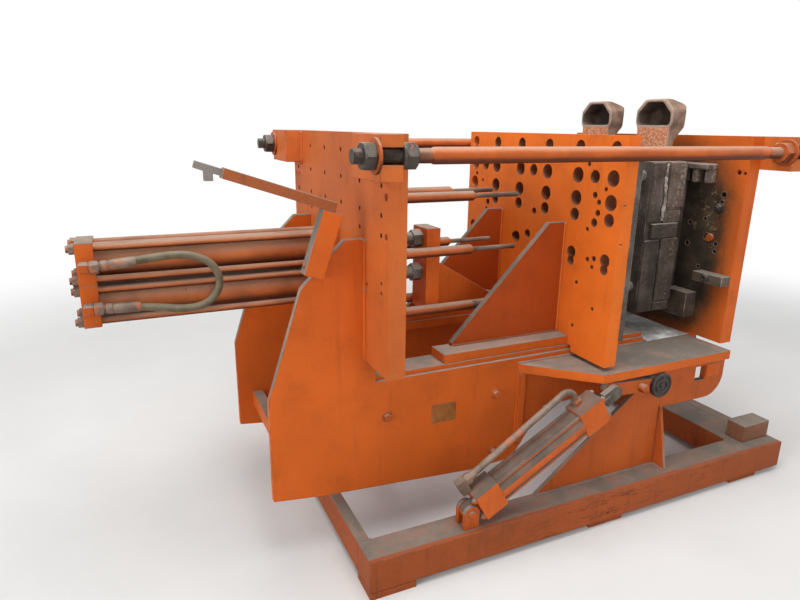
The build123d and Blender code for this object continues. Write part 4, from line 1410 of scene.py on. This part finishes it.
@dataclass
class TiltFrame:
    """Side plates, ways, shelves, hanging plates, pivot levers and their bolts, plate and welds."""

    outer: float = 0.316
    pivot: Point = (0.255, -0.533, 0.515)
    lever_knob: Point = (0.160, -0.533, 0.520)
    lever_pin: Point = (0.007, -0.533, 0.533)
    bolt_places: tuple[tuple[float, float], ...] = ((-0.808, 0.485), (-0.357, 0.493), (-0.355, 0.248))
    plate_low: tuple[float, float] = (-0.630, 0.421)
    plate_high: tuple[float, float] = (-0.530, 0.494)
    plate_thickness: float = 0.0015
    rivet_inset: float = 0.006
    window_plate: tuple[Point, Point] = ((0.579, 0.4795, 0.470), (0.658, 0.4835, 0.528))
    hub_rings: Profile = (
        (0.0, 0.0505), (0.0130, 0.0505), (0.0165, 0.047), (0.0165, 0.041), (0.0140, 0.039),
        (0.0140, 0.031), (0.0190, 0.029), (0.0190, 0.022), (0.0150, 0.020), (0.0150, 0.012),
        (0.0200, 0.010))

    def plates(self) -> None:
        """The big plates."""
        for side in ("near", "far"):
            eased(f"{side}_side_plate", 0.0025, Body.FRAME, PAINT)
            eased(f"{side}_shelf", 0.003, Body.FRAME, SHELF_PAINT)
        eased("hanging_plates", 0.002, Body.FRAME, SHADE_DARKENED_PAINT)
        eased("shelf_ribs", 0.003, Body.FRAME, PAINT)
        eased("ways", 0.0015, Body.FRAME, PAINT)
        dress(PAINT, "frame_tie_bars")
        dress(LIT_SHEET_STEEL, "cover_sheet")

    def fasteners(self) -> None:
        """Bolts in the side plates, and a blank rating plate with its rivets on the near one."""
        bolts = Surfaces()
        for side in SIDES:
            for x, z in self.bolt_places:
                bolts.turned([(0.0, 0.019), (0.0028, 0.019), (0.0035, 0.017)],
                             both(side, (x, -self.outer, z)), outward(side), 32)
                bolts.hexagon(0.014, 0.026, both(side, (x, -self.outer - 0.003, z)), outward(side))
        bolts.build("side_plate_bolts", Body.FRAME, Slot.PAINT, NUT_PAINT)
        (left, bottom), (right, top) = self.plate_low, self.plate_high
        face = -self.outer - self.plate_thickness
        plate = Surfaces().block((left, face, bottom), (right, -self.outer, top), 0.0006)
        plate.build("rating_plate", Body.FRAME, Slot.PAINT, BRASS)
        rivets = Surfaces()
        for x in (left + self.rivet_inset, right - self.rivet_inset):
            for z in (bottom + self.rivet_inset, top - self.rivet_inset):
                rivets.lathe([(0.0, 0.0), (0.0, 0.0028), (0.0010, 0.0024), (0.0016, 0.0012), (0.0018, 0.0)],
                             (x, face, z), outward(-1), 16)
        rivets.build("rating_plate_rivets", Body.FRAME, Slot.STEEL, STEEL)

    def levers(self) -> None:
        """The pivot levers, with a greasy ringed hub disc and the pin's nut on each."""
        hubs, knobs = Surfaces(), Surfaces()
        dress(SHADE_DARKENED_PAINT, "near_pivot_lever", "far_pivot_lever")
        for side in SIDES:
            away = outward(side)
            hubs.turned(self.hub_rings, both(side, self.pivot), away, 56)
            knobs.turned([(0.0, 0.017), (0.020, 0.017), (0.026, 0.014), (0.028, 0.008)],
                         both(side, self.lever_knob), away, 32)
            knobs.turned([(0.0, 0.021), (0.003, 0.021)], both(side, self.lever_pin), away, 36)
            head = (self.lever_pin[X], self.lever_pin[Y] - 0.003, self.lever_pin[Z])
            knobs.hexagon(0.012, 0.026, both(side, head), away)
        hubs.build("hub_discs", Body.FRAME, Slot.STEEL, GREASE)
        knobs.build("lever_knobs", Body.FRAME, Slot.PAINT, NUT_PAINT)

    def window_plates(self) -> None:
        """A small plate beside the window of each hanging plate."""
        made = Surfaces()
        for side in SIDES:
            made.side_block(side, *self.window_plate, 0.0015)
        made.build("window_plates", Body.FRAME, Slot.PAINT, PAINT)

    def welds(self) -> None:
        """Beads along the shelves, the ways, the platens' feet and the hanging plates."""
        y = -self.outer - 0.002
        beads = Surfaces().twin_beads(
            ((-0.262, y, 0.603), (0.375, y, 0.603), 0.0045),
            ((-0.858, -0.304, 0.644), (-0.858, -0.200, 0.644), 0.005),
            ((0.152, -0.453, 0.561), (0.632, -0.453, 0.561), 0.005),
            ((0.640, y, 0.445), (0.640, y, 0.560), 0.005),
            ((-0.891, y, 0.712), (-0.891, y, 1.122), 0.006),
            ((-0.258, y, 0.28), (-0.258, y, 0.560), 0.0045),
            ((-0.216, y, 0.28), (-0.216, y, 0.560), 0.0045))
        beads.build("frame_welds", Body.FRAME, Slot.PAINT, PAINT)

    def build(self) -> None:
        """Builds the frame."""
        self.plates()
        self.fasteners()
        self.levers()
        self.window_plates()
        self.welds()


@dataclass
class Platens:
    """The three platens, with the moving one's many small holes, its gussets and its feet."""

    moving_face: float = -0.0185
    moving_thickness: float = 0.054
    left_face: float = -0.889
    left_thickness: float = 0.057
    right_face: float = 0.6375
    big_bolt: tuple[float, float] = (-0.381, 1.166)
    round_pin: tuple[float, float] = (-0.358, 1.040)
    stud: tuple[float, float] = (-0.401, 0.881)
    small_holes: tuple[Hole, ...] = (
        (0.387, 1.233, 0.008), (0.441, 1.260, 0.009), (0.335, 1.136, 0.014), (0.345, 1.106, 0.008),
        (-0.022, 1.138, 0.014), (-0.375, 1.239, 0.012), (-0.399, 1.216, 0.010), (-0.428, 1.265, 0.008),
        (-0.398, 1.177, 0.012), (-0.384, 1.140, 0.016), (-0.352, 1.112, 0.008), (-0.330, 1.346, 0.008),
        (-0.368, 1.001, 0.009), (-0.402, 1.009, 0.010), (-0.395, 0.976, 0.008), (-0.320, 0.901, 0.008),
        (-0.420, 0.821, 0.007), (-0.320, 0.727, 0.007), (0.105, 1.013, 0.019), (0.012, 1.037, 0.018))
    tapped_holes: tuple[Hole, ...] = (
        (-0.486, 1.273, 0.012), (-0.488, 1.157, 0.010), (-0.332, 0.979, 0.006), (-0.452, 1.009, 0.006),
        (-0.453, 0.979, 0.006), (0.480, 1.272, 0.008), (0.439, 1.276, 0.006))
    lug_holes: tuple[Hole, ...] = ((-0.441, 1.312, 0.010), (-0.467, 1.310, 0.007))
    burnt_holes: tuple[Hole, ...] = (
        (-0.390, 1.220, 0.011), (-0.386, 1.190, 0.008), (-0.320, 1.115, 0.007), (-0.387, 1.018, 0.009),
        (-0.387, 0.987, 0.008), (-0.364, 1.007, 0.006), (-0.318, 0.910, 0.007), (-0.248, 1.090, 0.009),
        (-0.248, 1.000, 0.010), (-0.340, 1.041, 0.015))
    rim_wide: tuple[float, ...] = (0.0, 0.0030, 0.0024, 0.0006, 0.0)
    rim_proud: tuple[float, ...] = (-0.0005, -0.0005, 0.0011, 0.0011, -0.0005)
    # Where two dark plates stand for nicks in the moving platen's near edge; their darkness is painted shade.
    edge_nick_shades: tuple[tuple[float, float], ...] = ((-0.004, 1.216), (-0.003, 1.080))
    gusset_faces: tuple[float, float] = (-0.2045, -0.2315)

    def drills(self, holes: Iterable[Hole], face: float, thickness: float) -> Surfaces:
        """Plugs for small holes through a plate.

        Args:
            holes: The holes.
            face: The X of the plate's left face.
            thickness: The plate's thickness.

        Returns:
            The plugs.
        """
        plugs = Surfaces()
        for y, z, radius in holes:
            plugs.lathe([(0.0, radius), (thickness + 0.01, radius)], (face - 0.005, y, z), RIGHTWARD, 20)
        return plugs

    def hole_rims(self) -> None:
        """A raised rim round each hole of the burnt face: a small ring profile turned round the hole."""
        made = Surfaces()
        for y, z, radius in self.burnt_holes:
            made.add(ring_points(np.array(self.rim_proud), radius + np.array(self.rim_wide), full_turn(24),
                                 (self.right_face, y, z), LEFTWARD), capped=False)
        made.build("burnt_hole_rims", Body.FRAME, Slot.STEEL, PIPE_STEEL)

    def burnt_fittings(self) -> None:
        """What stands on the burnt face: a big bolt, a round pin, a stud and a ledge with legs, twice."""
        bolts, pins, ledges = (Surfaces() for _ in range(3))
        face = self.right_face
        for side in SIDES:
            bolts.turned([(0.0, 0.021), (0.004, 0.021), (0.005, 0.019)],
                         both(side, (face, *self.big_bolt)), LEFTWARD, 36)
            bolts.hexagon(0.017, 0.030, both(side, (face - 0.004, *self.big_bolt)), LEFTWARD, 0.004)
            bolts.turned([(0.0, 0.018), (0.012, 0.018), (0.014, 0.016), (0.014, 0.008), (0.004, 0.006)],
                         both(side, (face - 0.050, *self.stud)), LEFTWARD, 32)
            pins.turned([(0.0, 0.017), (0.010, 0.017), (0.012, 0.015)],
                        both(side, (face, *self.round_pin)), LEFTWARD, 40)
            ledges.side_block(side, (face - 0.052, 0.195, 1.316), (face, 0.345, 1.340), 0.005)
            for y in (0.330, 0.268, 0.206):
                ledges.side_block(side, (face - 0.040, y - 0.012, 1.262), (face, y + 0.012, 1.318), 0.005)
        bolts.build("burnt_face_bolts", Body.FRAME, Slot.STEEL, NUT_STEEL)
        self.hole_rims()
        pins.build("burnt_face_pins", Body.FRAME, Slot.STEEL, NUT_PAINT)
        ledges.build("mould_hanger_ledges", Body.FRAME, Slot.IRON, COATED_IRON)

    def nick_shades_and_welds(self) -> None:
        """Two dark plates of painted shade that stand for nicks in the moving platen's near edge, and the
        beads of its gussets and feet.
        """
        nick_shades = Surfaces()
        for x, z in self.edge_nick_shades:
            nick_shades.block((x - 0.007, -0.5113, z - 0.002), (x + 0.007, -0.5105, z + 0.002), 0.0003)
        nick_shades.build("platen_edge_nick_shades", Body.PLATEN, Slot.PAINT, GREASE)
        runs = []
        for y in self.gusset_faces:
            runs += [((-0.0205, y, 0.68), (-0.0205, y, 1.12), 0.005),
                     ((-0.505, y, 0.679), (-0.022, y, 0.679), 0.004)]
        beads = Surfaces().twin_beads(*runs)
        beads.build("platen_welds", Body.PLATEN, Slot.PAINT, LIT_MOVING_PAINT)

    def build(self) -> None:
        """Builds the platens."""
        for node, width, body, material, holes, face, thickness in (
                ("moving_platen", 0.0018, Body.PLATEN, LIT_MOVING_PAINT, self.small_holes, self.moving_face,
                 self.moving_thickness),
                ("left_platen", 0.0025, Body.FRAME, LEFT_PAINT, self.tapped_holes, self.left_face,
                 self.left_thickness),
                ("right_platen", 0.0025, Body.FRAME, BURNT_PAINT, self.lug_holes + self.burnt_holes,
                 self.right_face, self.moving_thickness)):
            eased(node, width, body, material, self.drills(holes, face, thickness))
        eased("platen_brackets", 0.002, Body.FRAME, PAINTED_STEEL)
        eased("platen_gussets", 0.002, Body.PLATEN, SHADED_PAINT)
        eased("slide_feet", 0.002, Body.PLATEN, PAINT)
        self.burnt_fittings()
        self.nick_shades_and_welds()


@dataclass
class TieRods:
    """Two tie rods with turned necks, cut threads, nuts and washers, and the slotted lugs that hold them."""

    offset: float = 0.577
    height: float = 1.393
    radius: float = 0.024
    neck: float = 0.021
    bar_left: float = -0.794
    bar_right: float = 0.5835
    left_lug: float = -0.957
    left_lug_end: float = -0.889
    right_lug: float = 0.6985
    right_lug_end: float = 0.7555
    flats: float = 0.070
    nut: float = 0.036
    washer: float = 0.008
    washer_bore: float = 0.020
    washer_radius: float = 0.0483
    small_washer_radius: float = 0.038
    stub: float = 0.026
    lug_inner: float = 0.385
    lug_outer: float = 0.510
    lug_bottom: float = 1.325
    lug_top: float = 1.448

    def bar(self, surfaces: Surfaces, side: int) -> None:
        """The full part of one rod: a lathe profile with rounded shoulders.

        Args:
            surfaces: Takes the bar.
            side: The rod's side.
        """
        shoulder = [(0.0, self.neck - 0.001), (0.004, self.radius - 0.0012), (0.010, self.radius)]
        profile = [(self.bar_left - 0.012, self.neck - 0.002)]
        profile += [(self.bar_left + step, size) for step, size in shoulder]
        profile += [(self.bar_right - step, size) for step, size in shoulder[::-1]]
        profile += [(self.bar_right + 0.012, self.neck - 0.002)]
        surfaces.turned(profile, (0.0, side * self.offset, self.height), RIGHTWARD, 56)

    def threads(self, greasy: Surfaces, painted: Surfaces, side: int) -> None:
        """The threads of one rod: black with grease at the left lug, and painted over elsewhere.

        Args:
            greasy: Takes the thread at the left lug.
            painted: Takes the rest.
            side: The rod's side.
        """
        reach = self.washer + self.nut + self.stub
        start, joint = self.left_lug - reach, self.left_lug_end + self.washer + self.nut
        for made, left, right in ((greasy, start, joint), (painted, joint, self.bar_left - 0.003),
                                  (painted, self.bar_right + 0.003, self.right_lug_end + reach)):
            made.thread(right - left, self.neck, (left, side * self.offset, self.height))

    def fasten(self, nuts: Surfaces, discs: Surfaces, side: int, face: float, way: Point,
               wide: float) -> None:
        """Puts a washer on a lug's face and a nut on it, two of whose corners point sideways.

        Args:
            nuts: Takes the nut.
            discs: Takes the washer.
            side: The rod's side.
            face: The lug's face.
            way: The direction out of it.
            wide: The washer's radius.
        """
        y = side * self.offset
        discs.lathe([(0.0, self.washer_bore), (0.0, wide - 0.001), (0.001, wide), (self.washer - 0.001, wide),
                     (self.washer, wide - 0.001), (self.washer, self.washer_bore)],
                    (face, y, self.height), way, 56)
        nuts.hexagon(self.nut, self.flats, (face + way[X] * self.washer, y, self.height), way, turned=0.0)

    def build(self) -> None:
        """Builds both rods."""
        rods, greasy, painted, left, right = (Surfaces() for _ in range(5))
        for side in SIDES:
            self.bar(rods, side)
            self.threads(greasy, painted, side)
            self.fasten(left, right, side, self.left_lug, LEFTWARD, self.washer_radius)
            self.fasten(left, left, side, self.left_lug_end, RIGHTWARD, self.small_washer_radius)
            self.fasten(right, right, side, self.right_lug, LEFTWARD, self.washer_radius)
            self.fasten(right, right, side, self.right_lug_end, RIGHTWARD, self.washer_radius)
        rods.build("tie_rods_turned", Body.FRAME, Slot.STEEL, ROD_PAINT, ["tie_rods"])
        greasy.build("tie_rod_left_threads", Body.FRAME, Slot.STEEL, NUT_STEEL)
        painted.build("tie_rod_painted_threads", Body.FRAME, Slot.STEEL, THREAD_PAINT)
        left.build("greasy_tie_nuts", Body.FRAME, Slot.STEEL, NUT_STEEL, ["tie_nuts"])
        right.build("painted_tie_nuts", Body.FRAME, Slot.PAINT, NUT_PAINT)
        x, y, low = self.left_lug_end - 0.002, -self.lug_inner + 0.001, self.lug_bottom - 0.002
        beads = Surfaces().twin_beads(((x, y, self.lug_bottom), (x, y, self.lug_top), 0.006),
                                      ((x, y, low), (x, -self.lug_outer, low), 0.006))
        beads.build("lug_welds", Body.FRAME, Slot.PAINT, LUG_PAINT)
        eased("tie_lugs", 0.002, Body.FRAME, LUG_PAINT)


@dataclass
class ClampCylinders:
    """The two clamp cylinders, one over the other, with the nuts of their stay rods and their hose."""

    left: float = -1.727
    half_width: float = 0.072
    half_height: float = 0.0665
    middle: float = 0.9855
    stay_inset: float = 0.017
    head: float = 0.050
    paint_film: float = 0.0006
    elbow: float = -1.692
    upper_port: float = 1.048
    lower_port: float = 0.917
    hose_y: float = -0.092
    hose_radius: float = 0.0125

    def axes(self) -> tuple[float, float]:
        """The heights of the two cylinders' axes."""
        return (self.middle - self.half_height, self.middle + self.half_height)

    def nuts(self) -> None:
        """A nut on each stay rod at the outer head."""
        made = Surfaces()
        across, up = self.half_width - self.stay_inset, self.half_height - self.stay_inset
        for axis in self.axes():
            for y in (-across, across):
                for z in (axis - up, axis + up):
                    made.hexagon(0.017, 0.030, (self.left, y, z), LEFTWARD)
        made.build("clamp_stay_nuts", Body.FRAME, Slot.PAINT, PIPE_STEEL)

    def caps(self) -> None:
        """A thin cover of paint over each outer head, so that it is cleaner than its tube."""
        made = Surfaces()
        film, wide = self.paint_film, self.half_width + self.paint_film
        for axis in self.axes():
            made.block((self.left - film, -wide, axis - self.half_height + 0.0004),
                       (self.left + self.head + film, wide, axis + self.half_height + film), 0.003)
        made.build("clamp_head_covers", Body.FRAME, Slot.PAINT, PAINT)

    def hose(self) -> None:
        """The hose: one smooth line through its route's control points, each a distance and a height."""
        upper, lower = self.upper_port, self.lower_port
        route = [(0.000, upper), (0.096, upper + 0.008), (0.191, upper + 0.020), (0.279, upper + 0.024),
                 (0.357, upper - 0.008), (0.386, self.middle - 0.0175), (0.342, lower - 0.017),
                 (0.264, lower - 0.028), (0.186, lower - 0.012), (0.101, lower - 0.003), (0.000, lower)]
        curve = bpy.data.curves.new("clamp_hose_line", "CURVE")
        curve.dimensions = "3D"
        spline = curve.splines.new("NURBS")
        spline.points.add(len(route) - 1)
        for point, (reach, z) in zip(spline.points, route):
            point.co = (self.elbow + reach, self.hose_y, z, 1.0)
        spline.order_u = 3
        spline.use_endpoint_u = True
        spline.resolution_u = 12
        holder = linked("clamp_hose_line", curve)
        line = np.array([vertex.co for vertex in bpy.data.meshes.new_from_object(holder).vertices])
        bpy.data.objects.remove(holder)
        rubber = Surfaces().tube(line, self.hose_radius, 22)
        rubber.build("clamp_hose_rubber", Body.FRAME, Slot.HOSE, HOSE, ["clamp_hose"], 60.0)

    def hose_ends(self) -> None:
        """An elbow, a hexagon, a collar and a long ferrule at each end of the hose, which lean with it."""
        ferrule = [(0.020, 0.0130), (0.030, 0.0130), (0.032, 0.0165), (0.050, 0.0165), (0.052, 0.0145),
                   (0.056, 0.0145), (0.058, 0.0165), (0.128, 0.0165), (0.132, 0.0140)]
        steel, blocks = Surfaces(), Surfaces()
        for z, slope in ((self.upper_port, 1 / 12), (self.lower_port, -0.03)):
            port = (self.elbow, self.hose_y, z)
            blocks.block((self.elbow - 0.030, self.hose_y - 0.017, z - 0.016),
                         (self.elbow, -self.half_width + 0.002, z + 0.016), 0.005)
            steel.hexagon(0.026, 0.036, port, RIGHTWARD)
            steel.turned(ferrule, port, (1.0, 0.0, slope), 28)
        steel.build("clamp_hose_ends", Body.FRAME, Slot.STEEL, PIPE_STEEL)
        blocks.build("clamp_hose_elbows", Body.FRAME, Slot.PAINT, SHADE_DARKENED_PAINT)

    def build(self) -> None:
        """Builds the cylinders."""
        for node in ("upper_clamp_cylinder", "lower_clamp_cylinder"):
            eased(node, 0.0015, Body.FRAME, TUBE_PAINT)
        self.nuts()
        self.caps()
        self.hose()
        self.hose_ends()


@dataclass
class Crosshead:
    """The crosshead bar and web, the piston rods with their nuts, and the bumper rods on the left platen."""

    edge: float = 0.002

    def build(self) -> None:
        """Builds the crosshead and rods."""
        eased("crosshead_bar", self.edge, Body.PLATEN, PAINT)
        eased("crosshead_web", self.edge, Body.PLATEN, PAINT)
        eased("clamp_piston_rods", self.edge, Body.PLATEN, STEEL)
        dress(BUMPER_PAINT, "bumper_rods")


@dataclass
class Mould:
    """The mould: backing plate, pillars, both halves and their plates, crust, latch bars and risers."""

    half_width: float = 0.280
    edge: float = 0.0025
    fixed_plates: tuple[tuple[float, ...], ...] = (
        (0.440, 0.527, 1.164, 1.345, 0.012), (0.436, 0.527, 1.102, 1.150, 0.007),
        (0.434, 0.525, 0.768, 1.036, 0.012), (0.436, 0.524, 0.726, 0.760, 0.007))
    moving_plates: tuple[tuple[float, ...], ...] = (
        (0.347, 0.412, 1.106, 1.345, 0.007), (0.347, 0.424, 0.726, 1.032, 0.007))
    bar_low: tuple[float, float] = (0.368, 1.042)
    bar_high: tuple[float, float] = (0.506, 1.101)
    screw_places: tuple[tuple[float, float, float], ...] = (
        (0.403, 1.080, 0.019), (0.427, 1.087, 0.019), (0.423, 1.057, 0.019), (0.484, 1.075, 0.019),
        (0.470, 0.745, 0.007), (0.385, 1.290, 0.007))

    def end_plates(self, places: Iterable[tuple[float, ...]]) -> Surfaces:
        """Raised plates on both ends of a half, each a left, right, bottom, top and how far it stands out.

        Args:
            places: The plates of one end.

        Returns:
            The plates.
        """
        made = Surfaces()
        for side in SIDES:
            for left, right, bottom, top, proud in places:
                made.side_block(side, (left, self.half_width, bottom), (right, self.half_width + proud, top),
                                self.edge)
        return made

    def plates(self) -> None:
        """The raised plates, with the step and the bottom strip of the fixed half."""
        fixed, moving = self.end_plates(self.fixed_plates), self.end_plates(self.moving_plates)
        fixed.build("fixed_mould_plates", Body.FRAME, Slot.IRON, COATED_IRON)
        moving.build("moving_mould_plates", Body.PLATEN, Slot.IRON, IRON)

    def crust(self) -> None:
        """Coating that has run down the seam: a strip whose width and thickness wander with height.

        A point is the seam's X + a wavy half width * a bulge round the strip, and the end face's Y + a
        wavy thickness.
        """
        height = np.linspace(1.112, 1.340, 90)
        turn = full_turn(14)
        wander = (np.sin(height * 61) * 0.35 + np.sin(height * 147 + 1.0) * 0.30
                  + np.sin(height * 391 + 2.0) * 0.2)
        half = 0.0075 * (1.0 + 0.55 * wander) * np.clip((1.352 - height) / 0.08, 0.55, 1.0)
        middle = 0.4285 + 0.0035 * np.sin(height * 38) + (1.16 - height) * 0.030
        thick = 0.0042 * (1.0 + 0.5 * np.sin(height * 213))
        made = Surfaces()
        for side in SIDES:
            x = middle[:, None] + half[:, None] * np.cos(turn)
            y = side * (self.half_width + 0.006) + side * thick[:, None] * np.sin(turn)
            made.add(np.stack([x, y, height[:, None] + 0 * turn], axis=-1))
        made.build("seam_crust", Body.PLATEN, Slot.IRON, CRUST)

    def latches(self) -> None:
        """The bar across each end's seam, with four sunk screws, and screws in the plates."""
        sunk = [(-0.004, 0.0078), (0.0010, 0.0078), (0.0016, 0.0070), (0.0016, 0.0045), (-0.002, 0.0040)]
        bars, screws = Surfaces(), Surfaces()
        for side in SIDES:
            bars.side_block(side, (self.bar_low[0], self.half_width - 0.001, self.bar_low[1]),
                            (self.bar_high[0], self.half_width + 0.019, self.bar_high[1]), self.edge)
            for x, z, proud in self.screw_places:
                screws.turned(sunk, both(side, (x, -self.half_width - proud, z)), outward(side), 24)
        bars.build("mould_latch_bars", Body.PLATEN, Slot.IRON, IRON)
        screws.build("mould_screws", Body.PLATEN, Slot.IRON, NUT_STEEL)

    def build(self) -> None:
        """Builds the mould."""
        eased("backing_plate", 0.002, Body.PLATEN, STEEL)
        dress(PIN_STEEL, "mould_pillars")
        eased("moving_mould_half", 0.003, Body.PLATEN, IRON)
        eased("fixed_mould_half", 0.003, Body.FRAME, COATED_IRON)
        dress(IRON, "mould_risers")
        self.plates()
        self.crust()
        self.latches()


@dataclass
class PouringCups:
    """Two hooded cups that stand on the mould with their mouths towards the moving platen."""

    middle: Point = (0.475, 0.170, 1.522)
    lowest_inside: float = 1.486
    grain: float = 0.0033
    softening: int = 34

    def cast(self) -> bpy.types.Mesh:
        """The cups' skin in fine squares, evened out until its edges are as round as a sand casting's.

        Returns:
            The skin.
        """
        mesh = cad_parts["pouring_cups"].data.copy()
        form = merged(mesh)
        form.to_mesh(mesh)
        form.free()
        blank = linked("cup_blank", mesh)
        squares = blank.modifiers.new("squares", "REMESH")
        squares.mode = "VOXEL"
        squares.voxel_size = self.grain
        soften = blank.modifiers.new("soften", "SMOOTH")
        soften.factor = 0.5
        soften.iterations = self.softening
        return applied(blank)

    def build(self) -> None:
        """Builds the cups, and marks the faces that look to the middle of a hollow."""
        mesh = self.cast()
        placed_piece(mesh, "pouring_cups_cast", Body.FRAME, WASH, ["pouring_cups"], 80.0)
        centres, normals = (np.empty(len(mesh.polygons) * 3, np.float32) for _ in range(2))
        mesh.polygons.foreach_get("center", centres)
        mesh.polygons.foreach_get("normal", normals)
        centres, normals = centres.reshape(-1, 3), normals.reshape(-1, 3)
        hollow = np.tile(np.array(self.middle), (len(centres), 1))
        hollow[:, Y] *= np.sign(centres[:, Y])
        inside = (((hollow - centres) * normals).sum(axis=1) > 0.0) & (centres[:, Z] > self.lowest_inside)
        marks = mesh.attributes.new("inside", "FLOAT", "FACE")
        marks.data.foreach_set("value", inside.astype(np.float32))


@dataclass
class SideArm:
    """The block on the near side plate and the bar across its head, whose bare end hangs a hook."""

    lean: float = math.radians(18.4)
    screw_place: Point = (-1.0940, -0.339, 1.056)

    def build(self) -> None:
        """Builds the arm, and a screw in the dusty side of its block."""
        eased("arm_bracket", 0.002, Body.FRAME, PAINT)
        eased("side_arm", 0.0015, Body.FRAME, ARM_PAINT)
        screw = Surfaces().turned([(-0.002, 0.007), (0.004, 0.007), (0.006, 0.005)], self.screw_place,
                                  (-math.cos(self.lean), 0.0, math.sin(self.lean)), 24)
        screw.build("arm_bracket_screw", Body.FRAME, Slot.STEEL, NUT_PAINT)


def main() -> None:
    """Builds the scene in order and reports each piece."""
    logging.basicConfig(level=logging.INFO, format="%(message)s")
    for part in (Studio(), Skid(), TiltCylinders(), TiltFrame(), Platens(), TieRods(), ClampCylinders(),
                 Crosshead(), Mould(), PouringCups(), SideArm()):
        log.info("building %s", type(part).__name__)
        part.build()


if __name__ == "__main__":
    main()
